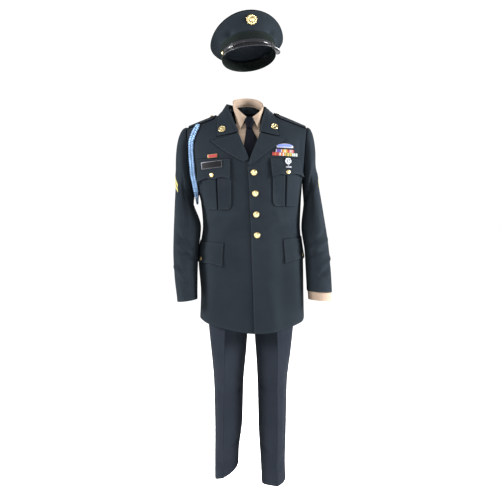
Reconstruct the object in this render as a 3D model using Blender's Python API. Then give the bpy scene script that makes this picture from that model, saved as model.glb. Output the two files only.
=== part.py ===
"""Army dress uniform, worn and hollow: coat, shirt and tie, trousers, shoulder cord, insignia and cap.

Metres, +Z up. The front faces -Y and the wearer's left is +X. The origin is at the base of the
wearer's neck, midway between the shoulders. Every cloth piece is a thin wall whose outer points
come from a few surfaces: the torso, the sleeves, the legs and the cap, each worked out from a short
table with a row for each level of the body.
"""

import bpy
import bmesh
import numpy as np

# Cloth and the gaps between its pieces
COAT_WALL = 0.0020
TROUSER_WALL = 0.0018
SHIRT_WALL = 0.0010
PATCH_WALL = 0.0016
SEAM_GAP = 0.0003
ARMHOLE_GAP = 0.0012
LIFT = 0.0008

RIGHT = -1
LEFT = 1
SIDES = ((RIGHT, "right"), (LEFT, "left"))

# The coat's levels, from the shoulder seam down. run is the way down the cloth from that seam.
COAT_COLUMNS = ("run", "front_x", "front_y", "front_z", "back_x", "back_y", "back_z",
                "side_right", "side_left", "arm_front_y", "arm_back_y", "side_z", "wrap")
COAT_LEVELS = (
    (0.000, -0.005, 0.008, 0.040, -0.005, 0.008, 0.040, -0.238, 0.216, 0.004, 0.004, -0.038, 0.05),
    (0.040, -0.004, -0.072, -0.012, -0.006, 0.068, 0.018, -0.239, 0.215, -0.032, 0.038, -0.053, 0.10),
    (0.100, -0.001, -0.112, -0.080, -0.010, 0.108, -0.055, -0.236, 0.210, -0.052, 0.060, -0.094, 0.28),
    (0.185, 0.008, -0.131, -0.160, -0.012, 0.122, -0.150, -0.228, 0.206, -0.052, 0.062, -0.160, 0.50),
    (0.255, 0.016, -0.134, -0.230, -0.012, 0.123, -0.228, -0.214, 0.202, -0.034, 0.038, -0.234, 0.85),
    (0.290, 0.018, -0.134, -0.262, -0.012, 0.122, -0.262, -0.206, 0.199, 0.000, 0.000, -0.262, 1.00),
    (0.355, 0.021, -0.131, -0.325, -0.013, 0.113, -0.325, -0.188, 0.195, 0.000, 0.000, -0.325, 1.00),
    (0.445, 0.025, -0.127, -0.415, -0.013, 0.101, -0.415, -0.181, 0.192, 0.000, 0.000, -0.413, 1.00),
    (0.570, 0.029, -0.140, -0.540, -0.014, 0.124, -0.540, -0.198, 0.204, 0.000, 0.000, -0.537, 1.00),
    (0.715, 0.034, -0.147, -0.680, -0.014, 0.136, -0.680, -0.189, 0.206, 0.000, 0.000, -0.667, 1.00),
    (0.850, 0.037, -0.150, -0.813, -0.015, 0.141, -0.812, -0.192, 0.208, 0.000, 0.000, -0.765, 1.00),
)
COAT_HEM = 0.850
QUARTER = 0.25
LAPEL_ROWS = 9
WAIST_RUN = 0.560
ARMPIT = 0.290
BOXINESS = 0.06
SHOULDER_FALL = 2.2
RIDGE = 0.30

# The coat's front edges: the button line is at the middle, and the left front laps over the right one
LAP_OVER = 0.024
LAP_UNDER = 0.020
LAP_LIFT = COAT_WALL + 0.0012
LAP_FADE_FROM = 0.030
LAP_FADE_TO = 0.085
NECK_CENTRE = -0.012
BACK_NECK_DROP = 0.042
BACK_NECK_HALF = 0.072

# The roll line, where each front turns over into its lapel: run down the cloth and world x
# Columns: run, x
ROLL_LINE = {
    RIGHT: ((0.000, -0.0850), (0.025, -0.0730), (0.060, -0.0560), (0.100, -0.0370), (0.150, -0.0180),
            (0.200, 0.0030), (0.225, 0.0200)),
    LEFT: ((0.000, 0.0600), (0.025, 0.0520), (0.060, 0.0430), (0.100, 0.0320), (0.135, 0.0190),
           (0.185, 0.0010), (0.215, -0.0080)),
}
BREAK_RUN = {RIGHT: 0.225, LEFT: 0.215}
LAPEL_FOOT = {RIGHT: 0.197, LEFT: 0.215}
LAPEL_CLEARANCE = 0.0055
LAPEL_START = 0.0015
ROLL_SETBACK = 0.0021

# The lapel's outer edge, from the break up to its corner: share of the way up, run, world x
# Columns: up, run, x
LAPEL_EDGE = {
    RIGHT: ((0.00, 0.201, -0.0220), (0.18, 0.196, -0.0360), (0.36, 0.187, -0.0540), (0.58, 0.171, -0.0800),
            (0.78, 0.148, -0.1120), (1.00, 0.111, -0.1510)),
    LEFT: ((0.00, 0.216, -0.0060), (0.18, 0.204, 0.0180), (0.36, 0.184, 0.0440), (0.58, 0.164, 0.0680),
           (0.78, 0.142, 0.0950), (1.00, 0.103, 0.1380)),
}
GORGE_RUN = 0.0865
ROLL_RISE = 0.0014

# The collar, by stations from the gorge at the front to the centre of the back.
# Each way across is measured from the middle of the neck, and each rise is above the coat.
# Columns: station, crease_across, crease_run, crease_rise, edge_across, edge_run
COLLAR_STATIONS = {
    RIGHT: ((0.00, 0.0325, -0.0850, 0.0052, 0.1140, -0.0950),
            (0.25, 0.0510, -0.0450, 0.0110, 0.1130, -0.0500),
            (0.55, 0.0680, -0.0020, 0.0290, 0.1060, -0.0010),
            (0.78, 0.0500, 0.0200, 0.0310, 0.0760, 0.0560),
            (1.00, 0.0000, 0.0340, 0.0300, 0.0000, 0.0800)),
    LEFT: ((0.00, 0.0490, -0.0850, 0.0052, 0.1230, -0.0920),
           (0.25, 0.0575, -0.0450, 0.0080, 0.1130, -0.0480),
           (0.55, 0.0690, -0.0020, 0.0140, 0.0960, -0.0010),
           (0.78, 0.0520, 0.0200, 0.0240, 0.0740, 0.0560),
           (1.00, 0.0000, 0.0340, 0.0300, 0.0000, 0.0800)),
}
COLLAR_PROFILE = ((-0.0040, -0.0040), (-0.0030, -0.0008), (0.0000, 0.0006), (0.0040, -0.0016))
STAND_FROM = 0.30
STAND_INSET = 0.0044
STAND_BELOW = 0.0060
STAND_FOOT_GAP = 0.0012

# The sleeves: along is the share of the way from the head of the sleeve to its cuff
# Columns: along, z, tilt, outer_x, inner_x, y, half_depth
SLEEVE_LEVELS = {
    RIGHT: ((0.22, -0.268, 0.066, -0.2835, -0.2160, 0.004, 0.074),
            (0.40, -0.390, 0.030, -0.2885, -0.1870, -0.022, 0.070),
            (0.60, -0.510, 0.008, -0.2915, -0.1960, -0.044, 0.066),
            (0.80, -0.600, 0.000, -0.2865, -0.1985, -0.056, 0.062),
            (1.00, -0.694, -0.005, -0.2750, -0.1990, -0.064, 0.058),
            (1.15, -0.750, -0.005, -0.2700, -0.1985, -0.068, 0.056)),
    LEFT: ((0.22, -0.268, 0.066, 0.2540, 0.2060, 0.012, 0.074),
           (0.40, -0.390, 0.030, 0.2800, 0.1965, -0.014, 0.070),
           (0.60, -0.500, 0.008, 0.2990, 0.2075, -0.038, 0.066),
           (0.80, -0.585, 0.000, 0.3070, 0.2115, -0.050, 0.062),
           (1.00, -0.661, -0.003, 0.3107, 0.2155, -0.056, 0.057),
           (1.15, -0.718, -0.003, 0.3107, 0.2190, -0.060, 0.055)),
}
HEAD_SHARE = 0.22
HEAD_OUT = {RIGHT: 0.115, LEFT: 0.085}
HEAD_DOWN = 0.200
UNDERARM_DOWN = 0.060

# The trousers: drop is the way down from the origin at the side seam, and at the middle or inseam
# Columns: drop, out_x, shift, crease_x, front_y, back_y, mid_x, front_mid_y, back_mid_y, mid_drop_right,
# mid_drop_left, roundness, spread
TROUSER_LEVELS = (
    (0.405, 0.158, 0.004, 0.078, -0.094, 0.074, 0.0002, -0.098, 0.080, 0.405, 0.405, 0.92, 0.5),
    (0.540, 0.174, 0.004, 0.086, -0.108, 0.1100, 0.0002, -0.106, 0.102, 0.545, 0.545, 0.88, 0.5),
    (0.615, 0.175, 0.004, 0.090, -0.110, 0.1173, 0.0002, -0.080, 0.088, 0.640, 0.640, 0.80, 0.5),
    (0.665, 0.173, 0.004, 0.092, -0.110, 0.1160, 0.0018, -0.0018, 0.0018, 0.680, 0.680, 0.72, 0.1),
    (0.760, 0.166, 0.004, 0.096, -0.107, 0.098, 0.0090, -0.0008, 0.0008, 0.765, 0.765, 0.66, 0.0),
    (0.880, 0.155, 0.004, 0.100, -0.104, 0.094, 0.0174, -0.0002, 0.0002, 0.880, 0.880, 0.62, 0.0),
    (1.020, 0.1414, 0.002, 0.101, -0.099, 0.088, 0.0271, -0.0002, 0.0002, 1.018, 1.022, 0.60, 0.0),
    (1.183, 0.1378, 0.002, 0.102, -0.096, 0.090, 0.0311, -0.0002, 0.0002, 1.165, 1.190, 0.60, 0.0),
    (1.324, 0.1365, 0.000, 0.103, -0.098, 0.094, 0.0420, -0.0002, 0.0002, 1.272, 1.340, 0.60, 0.0),
    (1.392, 0.1370, 0.001, 0.104, -0.101, 0.097, 0.0450, -0.0002, 0.0002, 1.323, 1.412, 0.60, 0.0),
)
WAIST_DROP = 0.405
WAISTBAND_HEIGHT = 0.036

# Pockets and flaps. On the chest they are placed by world x and z. The skirt flaps run round the side:
# way is 0 at the middle of the front, 1 at the side seam and 2 at the middle of the back.
CHEST_POCKET = {
    RIGHT: {"outer_top": -0.1840, "outer_bottom": -0.1700, "inner": -0.0670,
            "top": -0.182, "bottom": -0.3525},
    LEFT: {"outer_top": 0.1850, "outer_bottom": 0.1790, "inner": 0.0820, "top": -0.180, "bottom": -0.3400},
}
CHEST_FLAP = {
    RIGHT: {"x": -0.1335, "wide": 0.123, "top": -0.1625, "bottom": -0.2335, "skew": 0.004, "slant": 0.000},
    LEFT: {"x": 0.1310, "wide": 0.116, "top": -0.1610, "bottom": -0.2205, "skew": 0.002, "slant": 0.008},
}
SKIRT_FLAP = {
    RIGHT: {"from": 0.363, "to": 1.057, "top": 0.503, "bottom": 0.583, "skew": 0.004},
    LEFT: {"from": 0.370, "to": 1.144, "top": 0.488, "bottom": 0.568, "skew": 0.004},
}
FLAP_STEP = 0.018
FLAP_POINT = 0.006
FLAP_CORNER = 0.012
SCALLOP_AT = 0.45
FLAP_RISE = 0.0051
POCKET_RISE = 0.0012
SKIRT_FLAP_RISE = 0.0014
POCKET_WALL = 0.0024
PLEAT_WALL = 0.0010
EPAULET = {
    RIGHT: {"outer_x": -0.2330, "inner_x": -0.1270, "half_wide": 0.027, "button_x": -0.1450},
    LEFT: {"outer_x": 0.2110, "inner_x": 0.0900, "half_wide": 0.027, "button_x": 0.1060},
}
EPAULET_RISE = 0.0010
EPAULET_WALL = 0.0030

# Buttons, insignia and the plates on them
FRONT_BUTTON_RADIUS = 0.01145
SMALL_BUTTON_RADIUS = 0.0080
BUTTON_RISE = 0.0055
SMALL_BUTTON_RISE = 0.0045
BUTTON_SEAT = 0.0003
SMALL_SEAT = 0.0001
BUTTON_PROFILE = ((0.55, 0.0), (1.0, 0.30), (0.82, 0.80), (0.40, 1.0))
DISC_PROFILE = ((0.94, 0.0), (1.0, 0.5), (0.90, 1.0))
BADGE_PROFILE = ((0.90, 0.0), (1.0, 0.35), (0.72, 0.80), (0.35, 1.0))
FRONT_BUTTONS_Z = (-0.2150, -0.2920, -0.3695, -0.4470)
CHEST_BUTTON = {RIGHT: (-0.1400, -0.2235), LEFT: (0.1395, -0.2120)}
SKIRT_BUTTON = {RIGHT: (0.710, 0.569), LEFT: (0.757, 0.554)}
PIN_GAP = 0.0006
NAME_PLATE = {"at": (-0.1395, -0.1860), "wide": 0.075, "tall": 0.026, "tilt": np.radians(6.0)}
CITATION = {"at": (-0.1385, -0.1530), "wide": 0.036, "tall": 0.014, "tilt": np.radians(5.0)}
RIBBON_BARS = {"at": (0.1290, -0.1410), "upper_wide": 0.068, "lower_wide": 0.096, "tall": 0.0240,
               "tilt": np.radians(-2.0)}
BREAST_BADGE = {"at": (0.1280, -0.1195), "wide": 0.062, "tall": 0.019, "arch": 0.004, "rise": 0.0036}
WREATH = {"at": (0.1384, -0.1725), "radius": 0.0130, "neck": 0.0016, "bar_half": 0.0105,
          "bar_top": 0.0190, "bar_bottom": 0.0250, "thick": 0.0026}
DISC_RADIUS = 0.0130
COLLAR_DISC = {RIGHT: (-0.1035, -0.0540), LEFT: (0.0908, -0.0435)}
COLLAR_DISC_SEAT = {RIGHT: 0.0022, LEFT: 0.0014}
BRAID_THICK = 0.0012
CHEVRON = {"turn": {RIGHT: 0.02, LEFT: 0.94}, "half_turn": 0.13,
           "along": 0.205, "slope": 0.045, "tall": 0.045}

# The shoulder cord's route. Over the coat it is placed by run, across and rise, the same in front and
# behind. Under the arm it has its own points, and twist turns its width from level (0) to upright (1).
# Columns: run, across, rise
CORD_OVER = (
    (0.0300, 0.790, 0.0056), (0.0600, 0.835, 0.0066), (0.1000, 0.885, 0.0078),
    (0.1400, 0.905, 0.0075), (0.1800, 0.900, 0.0080), (0.2080, 0.880, 0.0092),
)
# Columns: x, y, z, twist
CORD_UNDER = (
    (-0.2150, -0.0740, -0.222, 0.00), (-0.2095, -0.0660, -0.250, 0.10), (-0.2060, -0.0545, -0.275, 0.35),
    (-0.2045, -0.0380, -0.297, 0.70), (-0.2025, -0.0180, -0.315, 1.00), (-0.2020, 0.0030, -0.323, 1.00),
    (-0.2025, 0.0240, -0.316, 1.00), (-0.2050, 0.0440, -0.298, 0.70), (-0.2080, 0.0610, -0.275, 0.35),
    (-0.2125, 0.0740, -0.250, 0.10), (-0.2170, 0.0820, -0.222, 0.00),
)
CORD_RINGS = 49
CORD_HALF_WIDTH = 0.0098
CORD_HALF_THICK = 0.0044
CORD_SWELL = 0.10
TWIST_WEIGHT = 0.02

# The shirt collar's crease and edge, from the right front round the back to the left front
SHIRT_CREASE = (
    (-0.0138, -0.0800, -0.0045), (-0.0420, -0.0640, 0.0220), (-0.0650, -0.0250, 0.0540),
    (-0.0590, 0.0200, 0.0700), (-0.0360, 0.0460, 0.0770), (-0.0080, 0.0540, 0.0790),
    (0.0230, 0.0460, 0.0740), (0.0450, 0.0200, 0.0600), (0.0510, -0.0250, 0.0410),
    (0.0340, -0.0640, 0.0150), (0.0086, -0.0800, -0.0057),
)
SHIRT_EDGE = (
    (-0.0428, -0.1022, -0.0665), (-0.0520, -0.0720, -0.0220), (-0.0600, -0.0300, 0.0180),
    (-0.0560, 0.0170, 0.0360), (-0.0360, 0.0420, 0.0430), (-0.0080, 0.0500, 0.0450),
    (0.0210, 0.0420, 0.0400), (0.0400, 0.0170, 0.0260), (0.0410, -0.0300, 0.0060),
    (0.0400, -0.0700, -0.0220), (0.0354, -0.1020, -0.0615),
)
SHIRT_ROLL = 0.0022
SHIRT_COLLAR_WALL = 0.0012
BAND_INSET = 0.0021
BAND_SHARES = (0.08, 0.40, 0.75)
SHIRT_TOP_RUN = 0.050
SHIRT_FOOT_RUN = 0.245
SHIRT_UNDER_COAT = 0.030
SHIRT_RISE = -0.0055
CUFF_FROM = 0.90
CUFF_TO = 1.085
CUFF_INSET = 0.0030

# The tie: knot rings from the top down, then the blade by levels
# Columns: z, x, y, half_wide, half_deep
TIE_KNOT = (
    (-0.0060, -0.0019, -0.0875, 0.0105, 0.0060), (-0.0120, -0.0019, -0.0905, 0.0150, 0.0090),
    (-0.0250, -0.0017, -0.0940, 0.0166, 0.0105), (-0.0380, -0.0022, -0.0965, 0.0135, 0.0095),
    (-0.0470, -0.0026, -0.0975, 0.0110, 0.0075),
)
# Columns: run, x, half_wide, rise, crown
TIE_LINE = (
    (0.050, -0.0022, 0.0105, -0.0010, 1.0), (0.070, -0.0026, 0.0120, -0.0026, 1.0),
    (0.108, 0.0037, 0.0230, -0.0034, 0.6), (0.160, 0.0040, 0.0290, -0.0034, 0.0),
    (0.200, 0.0050, 0.0320, -0.0034, 0.0), (0.245, 0.0070, 0.0350, -0.0034, 0.0),
)
TIE_TOP_RUN = 0.0715
TIE_FOOT_RUN = 0.240
TIE_CROWN = 0.0020
TIE_WALL = 0.0016

# The cap, in its own frame: the middle of the band's lower edge is its origin, and -Y is its front
CAP_PLACE = (-0.0040, 0.0020, 0.2260)
CAP_TILT = np.radians(-20.0)
CAP_TURN = np.radians(12.0)
CAP_LEAN = np.radians(-3.0)
CAP_WALL = 0.0024
BAND_HALF_WIDTH = 0.1040
BAND_HALF_LENGTH = 0.1090
BAND_HEIGHT = 0.0520
BAND_BACK_SHARE = 0.80
BAND_FLARE = 0.02
CROWN_HALF_WIDTH = 0.1410
CROWN_FRONT = 0.1300
CROWN_BACK = 0.1300
CROWN_HEIGHT_FRONT = 0.1270
CROWN_HEIGHT_SIDE = 0.0660
CROWN_HEIGHT_BACK = 0.0470
CROWN_PUFF = 0.006
VISOR_REACH = 0.0500
VISOR_DROP = 0.0400
VISOR_BOW = 0.008
VISOR_SPAN = np.radians(72.0)
VISOR_GAP = 0.0014
VISOR_WALL = 0.0024
STRAP_LOW = 0.0060
STRAP_TALL = 0.0125
STRAP_RISE = 0.0008
STRAP_WALL = 0.0020
STRAP_SPAN = np.radians(72.0)
SLIDE_TURN = np.radians(46.0)
CAP_BUTTON_TURN = np.radians(79.0)
CAP_BADGE_UP = 0.50
CAP_BADGE_SEAT = 0.0014
CAP_BADGE_RADIUS = 0.0210

COLOURS = {
    "serge": ((0.062, 0.078, 0.086), 0.85, 0.0),
    "shirt": ((0.600, 0.440, 0.290), 0.80, 0.0),
    "tie": ((0.008, 0.009, 0.014), 0.70, 0.0),
    "gold": ((0.830, 0.640, 0.270), 0.25, 1.0),
    "silver": ((0.650, 0.660, 0.680), 0.30, 1.0),
    "cord": ((0.240, 0.400, 0.680), 0.75, 0.0),
    "patent": ((0.010, 0.010, 0.012), 0.12, 0.0),
    "enamel": ((0.015, 0.015, 0.018), 0.30, 0.0),
    "ribbon": ((0.600, 0.040, 0.040), 0.75, 0.0),
    "braid": ((0.700, 0.640, 0.250), 0.75, 0.0),
}


def clear_scene():
    """The scene starts empty."""
    for item in list(bpy.data.objects):
        bpy.data.objects.remove(item, do_unlink=True)


def material(name, kind):
    """A material of its own for each piece."""
    colour, roughness, metallic = COLOURS[kind]
    made = bpy.data.materials.new(name)
    made.use_nodes = True
    shader = made.node_tree.nodes["Principled BSDF"]
    shader.inputs["Base Color"].default_value = (*colour, 1.0)
    shader.inputs["Roughness"].default_value = roughness
    shader.inputs["Metallic"].default_value = metallic
    return made


def smooth_rows(rows, at):
    """Cubic curves through a table's rows, keyed by the first column, that never overshoot a row."""
    rows = np.asarray(rows, dtype=float)
    at = np.asarray(at, dtype=float)
    key = rows[:, 0]
    value = rows[:, 1:]
    step = np.diff(key)[:, None]
    rise = np.diff(value, axis=0) / step
    product = rise[:-1] * rise[1:]
    total = rise[:-1] + rise[1:]
    safe = np.where(product > 0, total, 1.0)
    slope = np.vstack([rise[:1], np.where(product > 0, 2 * product / safe, 0.0), rise[-1:]])
    place = np.clip(np.searchsorted(key, at, side="right") - 1, 0, len(key) - 2)
    width = (key[place + 1] - key[place])[..., None]
    t = ((at - key[place])[..., None]) / width
    ends = (1 - t) ** 2 * (1 + 2 * t) * value[place] + t ** 2 * (3 - 2 * t) * value[place + 1]
    bend = t * (1 - t) ** 2 * slope[place] - t ** 2 * (1 - t) * slope[place + 1]
    return ends + width * bend


def ease(t):
    """A soft step from 0 to 1."""
    t = np.clip(t, 0.0, 1.0)
    return t * t * (3 - 2 * t)


def coat_table():
    """The coat's levels as one run, from the front hem (negative) over the shoulder to the back hem."""
    levels = np.asarray(COAT_LEVELS)
    name = {column: levels[:, i] for i, column in enumerate(COAT_COLUMNS)}
    front = np.column_stack([-name["run"], name["front_x"], name["front_y"], name["front_z"],
                             name["side_right"], name["side_left"], name["arm_front_y"],
                             name["side_z"], name["wrap"]])
    back = np.column_stack([name["run"], name["back_x"], name["back_y"], name["back_z"],
                            name["side_right"], name["side_left"], name["arm_back_y"],
                            name["side_z"], name["wrap"]])
    return np.vstack([front[::-1], back[1:]])


COAT_TABLE = coat_table()


def torso(side, across, run):
    """The coat's outer surface. across goes from the middle (0) to the side seam or armhole (1), and
    run from the front hem (negative) over the shoulder seam (0) to the back hem (positive)."""
    across, run = np.broadcast_arrays(np.asarray(across, float), np.asarray(run, float))
    level = smooth_rows(COAT_TABLE, run)
    mid_x, mid_y, mid_z, right_x, left_x, edge_y, edge_z, wrap = np.moveaxis(level, -1, 0)
    edge_x = right_x if side == RIGHT else left_x
    angle = across * np.pi / 2
    swell = 1 + BOXINESS * np.sin(2 * angle) ** 2
    out = (1 - wrap) * across + wrap * swell * np.sin(angle)
    turn = (1 - wrap) * np.abs(across) ** SHOULDER_FALL + wrap * (1 - swell * np.cos(angle))
    slope = (1 + RIDGE) * out ** 2 / (np.abs(out) + RIDGE)
    fall = (1 - wrap) * slope + wrap * out ** 2
    return np.stack([mid_x + (edge_x - mid_x) * out, mid_y + (edge_y - mid_y) * turn,
                     mid_z + (edge_z - mid_z) * fall], axis=-1)


def torso_normal(side, across, run):
    """The outward direction of the coat's surface, from small steps each way."""
    step = 0.004
    along_across = torso(side, np.asarray(across) + step, run) - torso(side, np.asarray(across) - step, run)
    along_run = torso(side, across, np.asarray(run) + step) - torso(side, across, np.asarray(run) - step)
    cross = side * np.cross(along_across, along_run)
    return cross / np.linalg.norm(cross, axis=-1, keepdims=True)


def on_torso(side, across, run, rise):
    """A point above the coat's surface."""
    rise = np.asarray(rise, float)
    return torso(side, across, run) + torso_normal(side, across, run) * rise[..., None]


def across_at(side, run, x):
    """The share of the way across at which the surface has a given world x."""
    share = np.zeros(np.broadcast(run, x).shape)
    for _ in range(30):
        here = torso(side, share, run)[..., 0]
        share = share + side * (x - here) * 3.0
    return share


def locate(side, x, z):
    """The across and run at which the coat's front has a given world x and z."""
    x = np.asarray(x, float)
    z = np.asarray(z, float)
    across = np.clip(side * x / 0.22, -0.2, 0.95)
    run = np.clip(z - 0.03, -0.80, -0.05)
    for _ in range(40):
        here = torso(side, across, run)
        across = np.clip(across + side * (x - here[..., 0]) * 3.0, -0.3, 1.0)
        run = np.clip(run + (z - here[..., 2]) * 0.8, -0.849, -0.002)
    return across, run


def build(name, vertices, faces, kind, sharp=40):
    """A closed mesh object with its faces pointing out and its own material."""
    mesh = bpy.data.meshes.new(name)
    mesh.from_pydata([tuple(map(float, v)) for v in vertices], [], faces)
    work = bmesh.new()
    work.from_mesh(mesh)
    bmesh.ops.recalc_face_normals(work, faces=work.faces)
    if work.calc_volume(signed=True) < 0:
        bmesh.ops.reverse_faces(work, faces=work.faces)
    work.to_mesh(mesh)
    work.free()
    mesh.shade_smooth()
    mesh.set_sharp_from_angle(angle=np.radians(sharp))
    mesh.materials.append(material(name, kind))
    piece = bpy.data.objects.new(name, mesh)
    bpy.context.scene.collection.objects.link(piece)
    return piece


def wall(name, outer, inner, kind, closed=False):
    """A wall between two grids of points, closed by rims along its open edges. A closed wall is a
    tube: its first grid direction runs round and its last row joins the first."""
    rows, columns = outer.shape[:2]
    count = rows * columns
    vertices = np.vstack([outer.reshape(-1, 3), inner.reshape(-1, 3)])
    faces = []
    spans = rows if closed else rows - 1

    def index(i, j, layer):
        return layer * count + (i % rows) * columns + j

    for i in range(spans):
        for j in range(columns - 1):
            faces.append((index(i, j, 0), index(i + 1, j, 0), index(i + 1, j + 1, 0), index(i, j + 1, 0)))
            faces.append((index(i, j, 1), index(i, j + 1, 1), index(i + 1, j + 1, 1), index(i + 1, j, 1)))
        for j in (0, columns - 1):
            faces.append((index(i, j, 0), index(i, j, 1), index(i + 1, j, 1), index(i + 1, j, 0)))
    if not closed:
        for j in range(columns - 1):
            for i in (0, rows - 1):
                faces.append((index(i, j, 0), index(i, j + 1, 0), index(i, j + 1, 1), index(i, j, 1)))
    return build(name, vertices, faces, kind)


def grid_normal(points, closed=False):
    """Unit normals of a grid of points, from its neighbours each way."""
    if closed:
        along = np.roll(points, -1, axis=0) - np.roll(points, 1, axis=0)
    else:
        along = np.gradient(points, axis=0)
    up = np.gradient(points, axis=1)
    cross = np.cross(along, up)
    return cross / np.maximum(np.linalg.norm(cross, axis=-1, keepdims=True), 1e-12)


def lap_lift(side, x, run):
    """How far the left front stands out where it laps over the right one."""
    if side == RIGHT:
        return np.zeros_like(x)
    away = x - smooth_rows(COAT_TABLE, run)[..., 0]
    fade = 1 - ease((away - LAP_FADE_FROM) / (LAP_FADE_TO - LAP_FADE_FROM))
    return LAP_LIFT * fade * ease((-run - 0.02) / 0.10)


def roll_place(side, run):
    """Where each front is cut along its roll line. The right one keeps clear of the left one."""
    place = smooth_rows(ROLL_LINE[side], run)[..., 0] + side * ROLL_SETBACK
    if side == RIGHT:
        cover = smooth_rows(ROLL_LINE[LEFT], run)[..., 0] - LAPEL_CLEARANCE
        place = np.where(run <= LAPEL_FOOT[RIGHT] + 0.0005, np.minimum(place, cover), place)
    return place


def lapel_runs(side):
    """The levels of the roll line that the front and its lapel share, from the foot to the gorge."""
    return np.linspace(LAPEL_FOOT[side], GORGE_RUN, LAPEL_ROWS)


def coat_fronts():
    """Each front runs from its hem to the shoulder seam, cut away along the roll line above the
    break. The left front stands out by its own wall where it laps over the right one."""
    columns = 10
    for side, label in SIDES:
        low = np.concatenate([np.linspace(COAT_HEM, WAIST_RUN, 6)[:-1],
                              np.linspace(WAIST_RUN, BREAK_RUN[side] + 0.004, 12)])
        foot = [BREAK_RUN[side] - 0.002] if BREAK_RUN[side] > LAPEL_FOOT[side] else []
        high = np.array([0.058, 0.029, SEAM_GAP / 2])
        run = -np.concatenate([low, foot, lapel_runs(side), high])
        roll = roll_place(side, -run)
        middle = smooth_rows(COAT_TABLE, run)[..., 0]
        lap = middle - LAP_OVER if side == LEFT else middle + LAP_UNDER
        edge_x = np.where(-run > BREAK_RUN[side], lap, roll)
        start = across_at(side, run, edge_x)
        share = np.linspace(0.0, 1.0, columns)
        end = 1 - SEAM_GAP / 2 / QUARTER
        across = start[:, None] + (end - start[:, None]) * share[None, :]
        runs = np.repeat(run[:, None], columns, axis=1)
        lifted = lap_lift(side, torso(side, across, runs)[..., 0], runs)
        outer = on_torso(side, across, runs, lifted)
        inner = on_torso(side, across, runs, lifted - COAT_WALL)
        wall("coat_front_" + label, outer, inner, "serge")


def neck_cut(side, across):
    """How far down the back each half is cut away for the neck."""
    whole = across_at(side, 0.0, NECK_CENTRE + side * BACK_NECK_HALF)
    return SEAM_GAP / 2 + BACK_NECK_DROP * (1 - np.clip(across / whole, 0, 1) ** 2)


def coat_backs():
    """Each back half runs from the neck and shoulder seam to the hem, with a centre seam."""
    rows = 15
    columns = 9
    for side, label in SIDES:
        end = 1 - SEAM_GAP / 2 / QUARTER
        across = np.linspace(SEAM_GAP / QUARTER, end, columns)
        top = neck_cut(side, across)
        share = np.linspace(0.0, 1.0, rows)
        runs = top[None, :] + (COAT_HEM - top[None, :]) * share[:, None]
        grid = np.repeat(across[None, :], rows, axis=0)
        outer = on_torso(side, grid, runs, np.zeros_like(runs))
        inner = on_torso(side, grid, runs, np.full_like(runs, -COAT_WALL))
        wall("coat_back_" + label, outer, inner, "serge")


def armhole(side, round_share):
    """The edge of the armhole: from the shoulder seam (0) down the front to the armpit (0.5) and up
    the back (1), just outside the fronts and backs."""
    down = np.where(round_share <= 0.5, -round_share, 1 - round_share) * 2 * ARMPIT
    edge = torso(side, 1.0, down)
    edge[..., 0] += side * ARMHOLE_GAP
    return edge


def sleeve_ring(side, round_share, along):
    """A ring of the sleeve below its head: an oval, tilted so that its outer side is higher."""
    level = smooth_rows(SLEEVE_LEVELS[side], along)
    z, tilt, outer_x, inner_x, y, half_depth = np.moveaxis(level, -1, 0)
    turn = round_share * 2 * np.pi
    middle = (outer_x + inner_x) / 2
    half = (outer_x - inner_x) / 2
    return np.stack([middle + half * np.cos(turn), y - half_depth * np.sin(turn),
                     z + tilt * np.cos(turn)], axis=-1)


def sleeve(side, round_share, along):
    """The sleeve's outer surface. Its head leaves the armhole outwards and turns down into the
    first ring: a cubic between the two, with outward and downward slopes."""
    round_share, along = np.broadcast_arrays(np.asarray(round_share, float), np.asarray(along, float))
    below = sleeve_ring(side, round_share, np.maximum(along, HEAD_SHARE))
    edge = armhole(side, round_share)
    first = sleeve_ring(side, round_share, np.full_like(along, HEAD_SHARE))
    turn = round_share * 2 * np.pi
    outer_side = (1 + np.cos(turn)) / 2
    leave = np.stack([side * (HEAD_OUT[side] * outer_side + 0.004), -0.030 * np.sin(turn),
                      -UNDERARM_DOWN * (1 - outer_side) + 0.012 * outer_side], axis=-1)
    reach = np.stack([np.zeros_like(turn), np.zeros_like(turn),
                      -HEAD_DOWN * outer_side - UNDERARM_DOWN * (1 - outer_side)], axis=-1)
    t = np.clip(along / HEAD_SHARE, 0, 1)[..., None]
    head = ((1 - t) ** 2 * (1 + 2 * t) * edge + t ** 2 * (3 - 2 * t) * first
            + t * (1 - t) ** 2 * leave - t ** 2 * (1 - t) * reach)
    return np.where((along < HEAD_SHARE)[..., None], head, below)


def sleeves():
    """Both sleeves, as open tubes from the armhole to the cuff."""
    around = 18
    share = np.arange(around) / around
    along = np.array([0.0, 0.05, 0.10, 0.16, 0.22, 0.31, 0.42, 0.55, 0.68, 0.84, 1.0])
    for side, label in SIDES:
        outer = sleeve(side, share[:, None], along[None, :])
        normal = grid_normal(outer, closed=True)
        middle = outer.mean(axis=0, keepdims=True)
        facing = np.sign(np.sum(normal * (outer - middle), axis=-1).mean())
        inner = outer - facing * normal * COAT_WALL
        wall("coat_sleeve_" + label, outer, inner, "serge", closed=True)


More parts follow.
